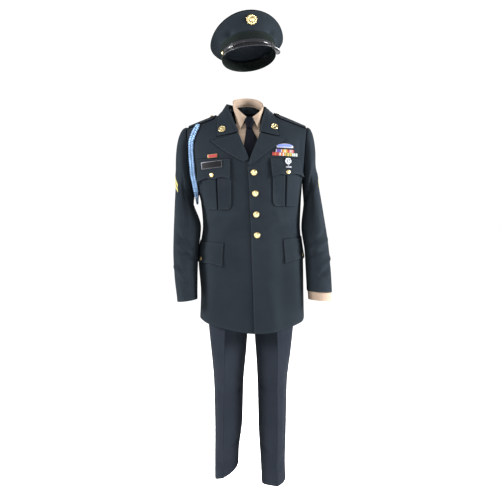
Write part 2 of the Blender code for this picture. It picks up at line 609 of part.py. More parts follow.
def lapels():
    """Each lapel lies on its front from the roll line out to its edge, and its roll wraps the
    front's cut edge. The gorge closes it against the collar. The right one ends where the left
    front covers it."""
    profile = ((-0.0026, -0.0008), (-0.0016, 0.0024), (0.0010, 0.0040))
    spread = (0.08, 0.26, 0.50, 0.76, 1.0)
    for side, label in SIDES:
        up = np.linspace(0.0, 1.0, LAPEL_ROWS)
        edge = smooth_rows(LAPEL_EDGE[side], up)
        roll_run = lapel_runs(side)
        roll_x = roll_place(side, roll_run)
        roll_run[0] -= LAPEL_START
        columns = []
        for offset, rise in profile:
            columns.append((roll_run, roll_x + side * offset, np.full(LAPEL_ROWS, rise)))
        for share in spread:
            run = roll_run + (edge[:, 0] - roll_run) * share
            x = roll_x + (edge[:, 1] - roll_x) * share + side * 0.0045 * (1 - share) * (1 - up)
            columns.append((run, x, np.full(LAPEL_ROWS, LIFT + COAT_WALL + ROLL_RISE * (1 - share) ** 2)))
        run = -np.stack([c[0] for c in columns], axis=1)
        x = np.stack([c[1] for c in columns], axis=1)
        rise = np.stack([c[2] for c in columns], axis=1) + lap_lift(side, x, run)
        across = across_at(side, run, x)
        outer = on_torso(side, across, run, rise)
        normal = grid_normal(outer)
        facing = np.sign(np.sum(normal * torso_normal(side, across, run), axis=-1).mean())
        inner = outer - facing * normal * COAT_WALL
        wall("lapel_" + label, outer, inner, "serge")


def collar_station(side, station):
    """The collar's crease and edge at a station, as world x and run, with the crease's rise."""
    row = smooth_rows(COLLAR_STATIONS[side], station)
    crease_across, crease_run, crease_rise, edge_across, edge_run = np.moveaxis(row, -1, 0)
    return (NECK_CENTRE + side * crease_across, crease_run, crease_rise,
            NECK_CENTRE + side * edge_across, edge_run)


def collar():
    """The collar's fall turns over at its crease and lies round the neck on the coat, from one gorge
    round the back to the other. Its stand rises from the neck seam to just under the crease."""
    half = 10
    spread = (0.30, 0.62, 1.0)
    halves = []
    stands = []
    for side, _ in SIDES:
        station = np.linspace(0.0, 1.0, half)
        crease_x, crease_run, crease_rise, edge_x, edge_run = collar_station(side, station)
        behind = station ** 3
        columns = []
        for offset, rise in COLLAR_PROFILE:
            columns.append((crease_x + side * offset * (1 - behind), crease_run + offset * behind,
                            crease_rise + rise))
        for share in spread:
            x = crease_x + side * 0.004 * (1 - behind) * (1 - share) + (edge_x - crease_x) * share
            run = crease_run + 0.004 * behind * (1 - share) + (edge_run - crease_run) * share
            low = LIFT + COAT_WALL
            rise = low + (crease_rise - low) * (1 - share) ** 1.4
            columns.append((x, run, rise))
        x = np.stack([c[0] for c in columns], axis=1)
        run = np.stack([c[1] for c in columns], axis=1)
        rise = np.stack([c[2] for c in columns], axis=1)
        rise = rise + lap_lift(side, x, np.minimum(run, 0))
        halves.append(on_torso(side, across_at(side, run, x), run, rise))
        stand = np.linspace(STAND_FROM, 1.0, 8)
        stand_x, stand_run, stand_rise, _, _ = collar_station(side, stand)
        stand_across = across_at(side, stand_run, stand_x - side * STAND_INSET * (1 - stand ** 3))
        top_run = stand_run - STAND_INSET * stand ** 3
        top = on_torso(side, stand_across, top_run, stand_rise - STAND_BELOW)
        foot_run = np.where(stand_run > 0, neck_cut(side, stand_across) - STAND_FOOT_GAP, stand_run)
        foot = on_torso(side, stand_across, foot_run, np.full(len(stand), 0.0))
        stands.append(np.stack([foot, (foot + top) / 2, top], axis=1))
    outer = np.concatenate([halves[0], halves[1][-2::-1]], axis=0)
    normal = grid_normal(outer)
    facing = np.sign(normal[half - 1, -2, 2])
    inner = outer - facing * normal * COAT_WALL
    wall("coat_collar", outer, inner, "serge")
    stand_face = np.concatenate([stands[0], stands[1][-2::-1]], axis=0)
    inward = np.array([NECK_CENTRE, 0.0, 0.0]) - stand_face
    inward[..., 2] = 0
    inward /= np.linalg.norm(inward, axis=-1, keepdims=True)
    wall("coat_collar_stand", stand_face + inward * 0.0014, stand_face, "serge")


def wrap_point(side, way, level, rise):
    """A point on or above the coat at a level below the armhole. way goes from the middle of the
    front (0) over the side seam (1) to the middle of the back (2)."""
    way, level, rise = np.broadcast_arrays(way, level, rise)
    front = on_torso(side, np.minimum(way, 1.0), -level, rise)
    back = on_torso(side, np.minimum(2 - way, 1.0), level, rise)
    return np.where((way <= 1.0)[..., None], front, back)


def patch(name, side, x, z, rise, thick, kind):
    """A piece that lies on the coat's front, over a grid of world x and z."""
    across, run = locate(side, x, z)
    rise = rise + lap_lift(side, x, run)
    outer = on_torso(side, across, run, rise + thick)
    inner = on_torso(side, across, run, np.zeros_like(across) + rise)
    return wall(name, outer, inner, kind)


def plate_grid(centre, wide, tall, tilt, columns, rows):
    """World x and z of a grid over a small plate, turned by its tilt."""
    a, b = np.meshgrid(np.linspace(-0.5, 0.5, columns) * wide, np.linspace(-0.5, 0.5, rows) * tall,
                       indexing="ij")
    return (centre[0] + a * np.cos(tilt) - b * np.sin(tilt),
            centre[1] + a * np.sin(tilt) + b * np.cos(tilt))


def scallop(a):
    """The drop of a flap's lower edge: a point at the middle and one at each corner."""
    a = np.abs(a)
    inner = FLAP_POINT * np.clip(1 - a / SCALLOP_AT, 0, 1)
    return inner + FLAP_CORNER * np.clip((a - SCALLOP_AT) / (1 - SCALLOP_AT), 0, 1) ** 1.5


def chest_pockets():
    """Each chest pocket is a patch with rounded lower corners and one inverted pleat down its
    middle, under a scalloped flap."""
    for side, label in SIDES:
        size = CHEST_POCKET[side]
        a = np.array([-1.0, -0.72, -0.38, -0.06, 0.0, 0.06, 0.38, 0.72, 1.0])
        b = np.array([0.0, 0.05, 0.16, 0.33, 0.50, 0.66, 0.82, 1.0])
        narrow = np.array([0.30, 0.10, 0.0, 0.0, 0.0, 0.0, 0.0, 0.0])
        a, b = np.meshgrid(a, b, indexing="ij")
        outer_x = size["outer_bottom"] + (size["outer_top"] - size["outer_bottom"]) * b
        half = (outer_x - size["inner"]) / 2
        x = size["inner"] + half + a * half * (1 - narrow[None, :] * np.abs(a) ** 4)
        z = size["bottom"] + (size["top"] - size["bottom"]) * b
        thick = np.where(np.abs(a) < 0.03, PLEAT_WALL, POCKET_WALL) * np.ones_like(x)
        patch("chest_pocket_" + label, side, x, z, POCKET_RISE, thick, "serge")
        size = CHEST_FLAP[side]
        a = np.linspace(-1, 1, 9)
        b = np.array([0.0, 0.40, 0.74, 1.0])
        a, b = np.meshgrid(a, b, indexing="ij")
        x = size["x"] + a * size["wide"] / 2 + side * size["slant"] * (1 - b)
        top = size["top"] + 0 * a
        bottom = size["bottom"] - scallop(a) + size["skew"] * a
        z = bottom + (top - bottom) * b
        rise = LIFT + (FLAP_RISE - LIFT) * ease((size["top"] - z) / FLAP_STEP)
        patch("chest_flap_" + label, side, x, z, rise, PATCH_WALL, "serge")


def skirt_flaps():
    """The lower pockets show as scalloped flaps that run round the side of the coat."""
    for side, label in SIDES:
        size = SKIRT_FLAP[side]
        a = np.linspace(-1, 1, 11)
        b = np.array([0.0, 0.45, 1.0])
        a, b = np.meshgrid(a, b, indexing="ij")
        way = size["from"] + (size["to"] - size["from"]) * (a + 1) / 2
        top = size["top"] - size["skew"] * a
        bottom = size["bottom"] + scallop(a) - size["skew"] * a
        level = bottom + (top - bottom) * b
        outer = wrap_point(side, way, level, SKIRT_FLAP_RISE + PATCH_WALL)
        inner = wrap_point(side, way, level, SKIRT_FLAP_RISE)
        wall("skirt_flap_" + label, outer, inner, "serge")


def epaulets():
    """A strap on each shoulder, from the sleeve seam to a point near the collar."""
    for side, label in SIDES:
        size = EPAULET[side]
        along = np.linspace(0.0, 1.0, 8)
        half = size["half_wide"] * np.interp(along, (0.0, 0.80, 0.93, 1.0), (1.0, 0.80, 0.62, 0.12))
        x = size["outer_x"] + (size["inner_x"] - size["outer_x"]) * along
        across_way = np.linspace(-1, 1, 7)
        run = half[:, None] * across_way[None, :]
        x = np.repeat(x[:, None], 7, axis=1)
        across = across_at(side, run, x)
        outer = on_torso(side, across, run, EPAULET_RISE + EPAULET_WALL)
        inner = on_torso(side, across, run, np.full_like(run, EPAULET_RISE))
        wall("epaulet_" + label, outer, inner, "serge")


def loft(name, rings, kind, sharp=40):
    """A closed solid through rings of points, with a flat cap on its first and last ring."""
    count, around = rings.shape[:2]
    faces = [tuple(range(around)), tuple(range((count - 1) * around, count * around))]
    for i in range(count - 1):
        for j in range(around):
            k = (j + 1) % around
            faces.append((i * around + j, i * around + k, (i + 1) * around + k, (i + 1) * around + j))
    return build(name, rings.reshape(-1, 3), faces, kind, sharp)


def frame_of(normal):
    """Two directions across a normal: one level, one up the face."""
    normal = np.asarray(normal, float) / np.linalg.norm(normal)
    helper = np.array([0.0, 0.0, 1.0]) if abs(normal[2]) < 0.9 else np.array([0.0, 1.0, 0.0])
    level = np.cross(helper, normal)
    level /= np.linalg.norm(level)
    return normal, level, np.cross(normal, level)


def dome(name, centre, normal, radius, height, kind, sides=14, profile=BUTTON_PROFILE):
    """A turned piece such as a button: its profile is share of the radius and share of the height."""
    normal, level, up = frame_of(normal)
    turn = np.arange(sides) * 2 * np.pi / sides
    circle = np.cos(turn)[:, None] * level + np.sin(turn)[:, None] * up
    rings = [centre + circle * radius * wide + normal * height * high for wide, high in profile]
    return loft(name, np.array(rings), kind)


def front_place(side, x, z, rise):
    """A point above the coat's front and the direction that it faces."""
    across, run = locate(side, np.array([x]), np.array([z]))
    lifted = rise + lap_lift(side, np.array([x]), run)
    return on_torso(side, across, run, lifted)[0], torso_normal(side, across, run)[0]


def buttons():
    """Four buttons close the front, and a smaller one holds each flap and epaulet."""
    for number, z in enumerate(FRONT_BUTTONS_Z, start=1):
        _, run = locate(LEFT, np.array([0.02]), np.array([z]))
        x = smooth_rows(COAT_TABLE, run)[0, 0]
        place, normal = front_place(LEFT, x, z, BUTTON_SEAT)
        dome(f"front_button_{number}", place, normal, FRONT_BUTTON_RADIUS, BUTTON_RISE, "gold", 14)
    for side, label in SIDES:
        x, z = CHEST_BUTTON[side]
        place, normal = front_place(side, x, z, FLAP_RISE + PATCH_WALL + SMALL_SEAT)
        dome("chest_button_" + label, place, normal, SMALL_BUTTON_RADIUS, SMALL_BUTTON_RISE, "gold", 12)
        way, level = SKIRT_BUTTON[side]
        rise = SKIRT_FLAP_RISE + PATCH_WALL + SMALL_SEAT
        ways = np.array([way, way + 0.01, way])
        spot = wrap_point(side, ways, np.array([level, level, level + 0.002]), rise)
        normal = side * np.cross(spot[2] - spot[0], spot[1] - spot[0])
        dome("skirt_button_" + label, spot[0], normal, SMALL_BUTTON_RADIUS, SMALL_BUTTON_RISE, "gold", 12)
        size = EPAULET[side]
        across = across_at(side, 0.0, np.array([size["button_x"]]))
        place = on_torso(side, across, np.zeros(1), np.full(1, EPAULET_RISE + EPAULET_WALL + SMALL_SEAT))[0]
        normal = torso_normal(side, across, np.zeros(1))[0]
        dome("epaulet_button_" + label, place, normal, SMALL_BUTTON_RADIUS, SMALL_BUTTON_RISE, "gold", 12)


def insignia():
    """Pins and ribbons on the chest and collar. All are plain: no device or lettering is raised."""
    x, z = plate_grid(NAME_PLATE["at"], NAME_PLATE["wide"], NAME_PLATE["tall"], NAME_PLATE["tilt"], 6, 2)
    patch("name_plate", RIGHT, x, z, FLAP_RISE + PATCH_WALL + PIN_GAP, 0.0018, "enamel")
    x, z = plate_grid(CITATION["at"], CITATION["wide"], CITATION["tall"], CITATION["tilt"], 4, 2)
    patch("citation_ribbon", RIGHT, x, z, LIFT, 0.0026, "ribbon")
    size = RIBBON_BARS
    a = np.linspace(-0.5, 0.5, 7)[:, None]
    b = np.array([[-0.5, -0.01, 0.01, 0.5]])
    wide = np.array([[size["lower_wide"], size["lower_wide"], size["upper_wide"], size["upper_wide"]]])
    along = a * wide
    up = b * size["tall"] + 0 * a
    x = size["at"][0] + along * np.cos(size["tilt"]) - up * np.sin(size["tilt"])
    z = size["at"][1] + along * np.sin(size["tilt"]) + up * np.cos(size["tilt"])
    patch("ribbon_bars", LEFT, x, z, LIFT, 0.0024, "ribbon")
    a = np.linspace(-1, 1, 9)
    b = np.linspace(-1, 1, 3)
    a, b = np.meshgrid(a, b, indexing="ij")
    tall = BREAST_BADGE["tall"] * (0.45 + 0.55 * np.cos(a * np.pi / 2) ** 0.8)
    x = BREAST_BADGE["at"][0] + a * BREAST_BADGE["wide"] / 2
    z = BREAST_BADGE["at"][1] + b * tall / 2 + BREAST_BADGE["arch"] * (1 - a ** 2)
    patch("breast_badge", LEFT, x, z, BREAST_BADGE["rise"], 0.0022, "silver")
    wreath()
    for side, label in SIDES:
        rise = LIFT + COAT_WALL + COLLAR_DISC_SEAT[side]
        place, normal = front_place(side, *COLLAR_DISC[side], rise)
        dome("collar_disc_" + label, place, normal, DISC_RADIUS, 0.0022, "gold", 16, DISC_PROFILE)


def wreath():
    """A round badge with a small bar hung below it, cut as one plate."""
    size = WREATH
    turn = np.radians(np.linspace(-83, 263, 20))
    radius = size["radius"]
    outline = np.stack([radius * np.cos(turn), radius * np.sin(turn)], axis=-1)
    low = [(-size["neck"], -size["bar_top"]), (-size["bar_half"], -size["bar_top"]),
           (-size["bar_half"], -size["bar_bottom"]), (size["bar_half"], -size["bar_bottom"]),
           (size["bar_half"], -size["bar_top"]), (size["neck"], -size["bar_top"])]
    outline = np.vstack([outline, low])
    place, normal = front_place(LEFT, *size["at"], FLAP_RISE + PATCH_WALL + PIN_GAP)
    normal, level, up = frame_of(normal)
    flat = place + outline[:, :1] * level + outline[:, 1:] * up
    loft("wreath_badge", np.stack([flat, flat + normal * size["thick"]]), "silver")


def path_points(points, count):
    """Evenly spaced points on a smooth curve through a route's own points."""
    points = np.asarray(points, float)
    way = np.concatenate([[0], np.cumsum(np.linalg.norm(np.diff(points, axis=0), axis=1))])
    padded = np.vstack([2 * points[0] - points[1], points, 2 * points[-1] - points[-2]])
    fine = np.linspace(0, way[-1], count)
    place = np.clip(np.searchsorted(way, fine, side="right") - 1, 0, len(points) - 2)
    width = (way[place + 1] - way[place])[:, None]
    t = (fine - way[place])[:, None] / width
    before = np.concatenate([[way[0] - (way[1] - way[0])], way, [2 * way[-1] - way[-2]]])
    slope = (padded[2:] - padded[:-2]) / (before[2:] - before[:-2])[:, None]
    return ((1 - t) ** 2 * (1 + 2 * t) * points[place] + t ** 2 * (3 - 2 * t) * points[place + 1]
            + width * (t * (1 - t) ** 2 * slope[place] - t ** 2 * (1 - t) * slope[place + 1]))


def cord_over(front):
    """The cord's middle over the coat, in front or behind, from the epaulet down."""
    run, across, rise = np.array(CORD_OVER).T
    points = on_torso(RIGHT, across, -run if front else run, rise)
    return np.column_stack([points, np.zeros(len(points))])


def shoulder_cord():
    """The braided cord loops from the front edge of the right epaulet down the armhole, under the arm
    and up the back. It is flat, with its width across the loop, and its edges swell at each crossing
    of the braid."""
    under = np.array(CORD_UNDER)
    route = np.vstack([cord_over(True), under, cord_over(False)[::-1]])
    route[:, 3] *= TWIST_WEIGHT
    way = path_points(route, CORD_RINGS)
    points = way[:, :3]
    twist = way[:, 3:] / TWIST_WEIGHT
    count = len(points)
    tangent = np.gradient(points, axis=0)
    tangent /= np.linalg.norm(tangent, axis=1, keepdims=True)
    level = (1 - twist) * np.array([1.0, 0.0, 0.0]) + twist * np.array([0.0, 0.0, 1.0])
    level = level - tangent * np.sum(level * tangent, axis=1, keepdims=True)
    level /= np.linalg.norm(level, axis=1, keepdims=True)
    thick = np.cross(tangent, level)
    turn = np.arange(8) * 2 * np.pi / 8
    wide = CORD_HALF_WIDTH * (1 + CORD_SWELL * np.cos(np.arange(count) * np.pi))
    rings = (points[:, None] + np.cos(turn)[None, :, None] * level[:, None] * wide[:, None, None]
             + np.sin(turn)[None, :, None] * thick[:, None] * CORD_HALF_THICK)
    loft("shoulder_cord", rings, "cord", 60)


def chevrons():
    """Two stripes that meet in a point, sewn on each upper sleeve."""
    for side, label in SIDES:
        a = np.linspace(-1, 1, 9)
        b = np.linspace(0, 1, 3)
        a, b = np.meshgrid(a, b, indexing="ij")
        share = (CHEVRON["turn"][side] + CHEVRON["half_turn"] * a) % 1.0
        along = CHEVRON["along"] + CHEVRON["slope"] * np.abs(a) + CHEVRON["tall"] * b
        base = sleeve(side, share, along)
        step = 0.004
        round_way = sleeve(side, (share + step) % 1.0, along) - sleeve(side, (share - step) % 1.0, along)
        down = sleeve(side, share, along + step) - sleeve(side, share, along - step)
        normal = side * np.cross(round_way, down)
        normal /= np.linalg.norm(normal, axis=-1, keepdims=True)
        facing = np.sign(np.sum(normal[..., 0]) * side)
        face = base + facing * normal * (LIFT + BRAID_THICK)
        wall("chevrons_" + label, face, base + facing * normal * LIFT, "braid")


def shirt():
    """What shows of the shirt: its collar over a band, both fronts inside the open coat, and the left
    cuff below the sleeve."""
    count = 25
    top = path_points(SHIRT_CREASE, count)
    edge = path_points(SHIRT_EDGE, count)
    share = np.array([0.0, 0.12, 0.5, 1.0])[None, :, None]
    middle = np.array([NECK_CENTRE, 0.0, 0.0])
    outward = top - middle
    outward[:, 2] = 0
    outward /= np.linalg.norm(outward, axis=1, keepdims=True)
    face = top[:, None] * (1 - share) + edge[:, None] * share
    face = face + outward[:, None] * SHIRT_ROLL * np.sin(np.pi * np.clip(share * 1.2, 0, 1))
    normal = grid_normal(face)
    facing = np.sign(np.sum(normal * outward[:, None], axis=-1).mean())
    wall("shirt_collar", face, face - facing * normal * SHIRT_COLLAR_WALL, "shirt")
    share = np.array(BAND_SHARES)[None, :, None]
    band = top[:, None] * (1 - share) + edge[:, None] * share - outward[:, None] * BAND_INSET
    band = band[1:-1]
    wall("shirt_band", band, band - outward[1:-1, None] * SHIRT_WALL, "shirt")
    for side, label in SIDES:
        run = -np.linspace(SHIRT_TOP_RUN, SHIRT_FOOT_RUN, 8)[:, None] * np.ones((1, 5))
        middle_x = smooth_rows(TIE_LINE, -run)[..., 0]
        roll = smooth_rows(ROLL_LINE[side], np.minimum(-run, BREAK_RUN[side]))[..., 0]
        reach = roll + side * SHIRT_UNDER_COAT
        start = middle_x + side * SEAM_GAP
        x = start + (reach - start) * np.linspace(0, 1, 5)[None, :]
        across = across_at(side, run, x)
        outer = on_torso(side, across, run, np.full_like(run, SHIRT_RISE))
        inner = on_torso(side, across, run, np.full_like(run, SHIRT_RISE - SHIRT_WALL))
        wall("shirt_front_" + label, outer, inner, "shirt")
    around = 18
    turn = np.arange(around)[:, None] / around
    along = np.linspace(CUFF_FROM, CUFF_TO, 3)[None, :]
    outer = sleeve(LEFT, turn, along)
    middle = outer.mean(axis=0, keepdims=True)
    inward = middle - outer
    inward[..., 2] = 0
    inward /= np.linalg.norm(inward, axis=-1, keepdims=True)
    face = outer + inward * CUFF_INSET
    wall("shirt_cuff_left", face, face + inward * SHIRT_WALL, "shirt", closed=True)


def tie():
    """A knot at the neck and the blade below it, which goes in under the coat."""
    rings = []
    turn = np.arange(12) * 2 * np.pi / 12
    for z, x, y, half_wide, half_deep in TIE_KNOT:
        corner = np.abs(np.cos(turn)) ** 0.7 * np.sign(np.cos(turn))
        deep = y + half_deep * np.sin(turn)
        rings.append(np.stack([x + half_wide * corner, deep, np.full(12, z)], axis=-1))
    loft("tie_knot", np.array(rings), "tie", 60)
    run = np.linspace(TIE_TOP_RUN, TIE_FOOT_RUN, 9)
    row = smooth_rows(TIE_LINE, run)
    a = np.linspace(-1, 1, 7)
    x = row[:, 0][:, None] + a[None, :] * row[:, 1][:, None]
    rise = row[:, 2][:, None] + TIE_CROWN * (1 - a[None, :] ** 2) * row[:, 3][:, None]
    runs = -np.repeat(run[:, None], 7, axis=1)
    right = on_torso(RIGHT, across_at(RIGHT, runs, x), runs, rise)
    left = on_torso(LEFT, across_at(LEFT, runs, x), runs, rise)
    side_mix = (a[None, :, None] + 1) / 2
    outer = right * (1 - side_mix) + left * side_mix
    right = on_torso(RIGHT, across_at(RIGHT, runs, x), runs, rise - TIE_WALL)
    left = on_torso(LEFT, across_at(LEFT, runs, x), runs, rise - TIE_WALL)
    inner = right * (1 - side_mix) + left * side_mix
    wall("tie_blade", outer, inner, "tie")


def leg(side, front, share, drop):
    """The trousers' outer surface on one leg. share goes from the side seam (0) over the pressed
    crease (0.5) to the centre seam or inseam (1), as two curved halves that meet in the crease."""
    share, drop = np.broadcast_arrays(share, drop)
    row = smooth_rows(TROUSER_LEVELS, drop)
    (out_x, shift, crease_x, front_y, back_y, mid_x, front_mid, back_mid, mid_right, mid_left,
     roundness, spread) = np.moveaxis(row, -1, 0)
    crease_y = front_y if front else back_y
    mid_y = front_mid if front else back_mid
    mid_drop = mid_right if side == RIGHT else mid_left
    t = np.where(share <= 0.5, share * 2, share * 2 - 1)
    lateral = [(1 - t) ** 2 * out_x + 2 * t * (1 - t) * out_x + t ** 2 * crease_x,
               2 * t * (1 - t) * crease_y * roundness + t ** 2 * crease_y]
    inner_x = mid_x + (crease_x - mid_x) * spread
    inner_y = mid_y + (crease_y - mid_y) * roundness
    medial = [(1 - t) ** 2 * crease_x + 2 * t * (1 - t) * inner_x + t ** 2 * mid_x,
              (1 - t) ** 2 * crease_y + 2 * t * (1 - t) * inner_y + t ** 2 * mid_y]
    x = np.where(share <= 0.5, lateral[0], medial[0])
    y = np.where(share <= 0.5, lateral[1], medial[1])
    return np.stack([shift + side * x, y, -(drop + (mid_drop - drop) * share ** 1.5)], axis=-1)


def trousers():
    """Each leg has a front and a back panel, which meet at the side seam and the inseam."""
    share = np.array([0.0, 0.10, 0.22, 0.36, 0.5, 0.62, 0.76, 0.89, 1.0])
    drop = np.array([0.405, 0.470, 0.540, 0.600, 0.640, 0.675, 0.730, 0.810, 0.920, 1.060, 1.230, 1.392])
    for side, label in SIDES:
        for front, place in ((True, "front"), (False, "back")):
            outer = leg(side, front, share[:, None], drop[None, :])
            toward = -1 if front else 1
            outer[0, :, 1] = toward * SEAM_GAP / 2
            outer[-1, :, 0] = np.where(np.abs(outer[-1, :, 0]) < 0.02,
                                       side * np.maximum(side * outer[-1, :, 0], SEAM_GAP / 2), outer[-1, :, 0])
            axis = np.stack([np.interp(drop, [0.40, 0.62, 0.70, 1.4], [0.04, 0.05, 0.085, 0.09]) * side,
                             np.zeros_like(drop), outer[4, :, 2]], axis=-1)
            normal = grid_normal(outer)
            facing = np.sign(np.sum(normal * (outer - axis[None]), axis=-1).mean())
            normal = facing * normal
            normal[0] = np.array([side, 0.0, 0.0])
            lower = drop > 0.70
            normal[-1, lower] = np.array([-side, 0.0, 0.0])
            normal[-1, ~lower, 0] = 0.0
            normal[-1] /= np.linalg.norm(normal[-1], axis=-1, keepdims=True)
            wall(f"trouser_{place}_{label}", outer, outer - normal * TROUSER_WALL, "serge")
    around = 24
    turn = (np.arange(around) + 0.5) * 2 * np.pi / around
    top = smooth_rows(TROUSER_LEVELS, np.array([WAIST_DROP]))[0]
    out_x, shift, _, front_y, back_y = top[:5]
    y_half = np.where(np.sin(turn) < 0, -front_y, back_y) + 0.001
    rim = np.stack([shift + out_x * np.sign(np.cos(turn)) * np.abs(np.cos(turn)) ** 0.8,
                    y_half * np.sign(np.sin(turn)) * np.abs(np.sin(turn)) ** 0.8, np.zeros(around)], axis=-1)
    low = rim + np.array([0, 0, -WAIST_DROP + SEAM_GAP])
    high = rim * np.array([0.985, 0.985, 1.0]) + np.array([0, 0, -WAIST_DROP + SEAM_GAP + WAISTBAND_HEIGHT])
    outer = np.stack([low, high], axis=1)
    inward = -rim / np.linalg.norm(rim, axis=1, keepdims=True)
    wall("waistband", outer, outer + inward[:, None] * TROUSER_WALL, "serge", closed=True)


def cap_matrix():
    """The cap's place: tilted back, turned and leaned, as it sits on the head."""
    c, s = np.cos(CAP_TILT), np.sin(CAP_TILT)
    tilt = np.array([[1, 0, 0], [0, c, -s], [0, s, c]])
    c, s = np.cos(CAP_TURN), np.sin(CAP_TURN)
    turn = np.array([[c, -s, 0], [s, c, 0], [0, 0, 1]])
    c, s = np.cos(CAP_LEAN), np.sin(CAP_LEAN)
    lean = np.array([[c, 0, s], [0, 1, 0], [-s, 0, c]])
    return lean @ turn @ tilt


def cap_to_world(points):
    """Points in the cap's own frame, put in their place."""
    return points @ cap_matrix().T + np.array(CAP_PLACE)


def band_oval(turn, height):
    """The band: an oval round the head. turn is 0 at the front and grows towards the wearer's left."""
    flare = 1 + BAND_FLARE * height / BAND_HEIGHT
    return np.stack([BAND_HALF_WIDTH * flare * np.sin(turn), -BAND_HALF_LENGTH * flare * np.cos(turn),
                     height + 0 * turn], axis=-1)


def band_top(turn):
    """The band's height, a little less at the back."""
    return BAND_HEIGHT * (BAND_BACK_SHARE + (1 - BAND_BACK_SHARE) * (1 + np.cos(turn)) / 2)


def crown_rim(turn):
    """The rim of the crown, high at the front and low at the back."""
    front = (1 + np.cos(turn)) / 2
    length = CROWN_BACK + (CROWN_FRONT - CROWN_BACK) * front
    low = CROWN_HEIGHT_SIDE + (CROWN_HEIGHT_BACK - CROWN_HEIGHT_SIDE) * np.clip(-np.cos(turn), 0, 1)
    high = CROWN_HEIGHT_SIDE + (CROWN_HEIGHT_FRONT - CROWN_HEIGHT_SIDE) * np.clip(np.cos(turn), 0, 1) ** 1.2
    return np.stack([CROWN_HALF_WIDTH * np.sin(turn), -length * np.cos(turn),
                     np.where(np.cos(turn) > 0, high, low)], axis=-1)


def crown_side(turn, up):
    """The crown's side, from the top of the band (0) to its rim (1). It leaves the band steeply
    and bells out."""
    start = band_oval(turn, band_top(turn) + SEAM_GAP)
    end = crown_rim(turn)
    control = start + (end - start) * np.array([0.35, 0.35, 0.0]) + np.array([0, 0, 1.0]) * (
        (end - start)[..., 2:] * 0.62)
    up = up[..., None]
    return (1 - up) ** 2 * start + 2 * up * (1 - up) * control + up ** 2 * end


def crown_top(turn, inward):
    """The crown's top, from its rim (0) to its middle (1), stretched nearly flat over the rim."""
    rim = crown_rim(turn)
    middle = np.array([0.0, -0.005, (CROWN_HEIGHT_FRONT + CROWN_HEIGHT_BACK) / 2 - 0.004])
    inward = inward[..., None]
    point = rim * (1 - inward) + middle * inward
    point[..., 2] += CROWN_PUFF * np.sin(np.pi * np.clip(inward[..., 0] * 1.6, 0, 1))
    return point


def cap():
    """The service cap: band, belled crown, stretched top, visor, chin strap, side buttons and badge."""
    around = 28
    turn = np.arange(around) * 2 * np.pi / around
    grid = turn[:, None]
    height = band_top(grid) * np.array([[0.0, 0.5, 1.0]])
    outer = band_oval(*np.broadcast_arrays(grid, height))
    inward = -np.stack([np.sin(grid), -np.cos(grid), 0 * grid], axis=-1)
    wall("cap_band", cap_to_world(outer), cap_to_world(outer + inward * CAP_WALL), "serge", closed=True)
    up = np.array([[0.0, 0.2, 0.45, 0.72, 0.9, 1.0]])
    outer = crown_side(*np.broadcast_arrays(grid, up))
    inner = outer + inward * CAP_WALL
    wall("cap_crown_side", cap_to_world(outer), cap_to_world(inner), "serge", closed=True)
    into = np.array([[0.0, 0.10, 0.30, 0.62, 0.97]])
    outer = crown_top(*np.broadcast_arrays(grid, into)) + np.array([0, 0, CAP_WALL + SEAM_GAP])
    disc("cap_crown_top", cap_to_world(outer), cap_to_world(outer - np.array([0, 0, CAP_WALL])), "serge")
    visor()
    strap = np.linspace(-STRAP_SPAN, STRAP_SPAN, 21)[:, None]
    height = STRAP_LOW + np.array([[0.0, STRAP_TALL]])
    outer = band_oval(*np.broadcast_arrays(strap, height))
    out = np.stack([np.sin(strap), -np.cos(strap), 0 * strap], axis=-1)
    wall("cap_chin_strap", cap_to_world(outer + out * (STRAP_RISE + STRAP_WALL)),
         cap_to_world(outer + out * STRAP_RISE), "patent")
    for side, label in SIDES:
        at = side * SLIDE_TURN
        arc = np.linspace(at - 0.06, at + 0.06, 3)[:, None]
        height = STRAP_LOW + np.array([[-0.0015, STRAP_TALL + 0.0015]])
        outer = band_oval(*np.broadcast_arrays(arc, height))
        out = np.stack([np.sin(arc), -np.cos(arc), 0 * arc], axis=-1)
        rise = STRAP_RISE + STRAP_WALL + SEAM_GAP * 2
        wall("strap_slide_" + label, cap_to_world(outer + out * (rise + 0.0016)),
             cap_to_world(outer + out * rise), "patent")
        at = side * CAP_BUTTON_TURN
        place = band_oval(np.array([at]), np.array([STRAP_LOW + STRAP_TALL / 2]))
        out = np.array([np.sin(at), -np.cos(at), 0.0])
        seat = cap_to_world(place + out * 0.0009)[0]
        out = cap_matrix() @ out
        dome("cap_button_" + label, seat, out, SMALL_BUTTON_RADIUS, SMALL_BUTTON_RISE, "gold", 12)
    front = crown_side(np.zeros((2, 1)), np.array([[CAP_BADGE_UP], [CAP_BADGE_UP + 0.05]]))[:, 0]
    along = front[1] - front[0]
    normal = np.cross(np.array([1.0, 0.0, 0.0]), along)
    normal /= np.linalg.norm(normal)
    seat = cap_to_world((front[0] + normal * CAP_BADGE_SEAT)[None])[0]
    dome("cap_badge", seat, cap_matrix() @ normal, CAP_BADGE_RADIUS, 0.0040, "gold", 16, BADGE_PROFILE)


def disc(name, outer, inner, kind):
    """A round wall with its middle closed: rings of points round a centre."""
    around, rings = outer.shape[:2]
    count = around * rings
    vertices = np.vstack([outer.reshape(-1, 3), inner.reshape(-1, 3)])
    faces = []
    for layer in (0, 1):
        for i in range(around):
            k = (i + 1) % around
            for j in range(rings - 1):
                faces.append((layer * count + i * rings + j, layer * count + k * rings + j,
                              layer * count + k * rings + j + 1, layer * count + i * rings + j + 1))
        faces.append(tuple(layer * count + i * rings + rings - 1 for i in range(around)))
    for i in range(around):
        k = (i + 1) % around
        faces.append((i * rings, k * rings, count + k * rings, count + i * rings))
    return build(name, vertices, faces, kind)


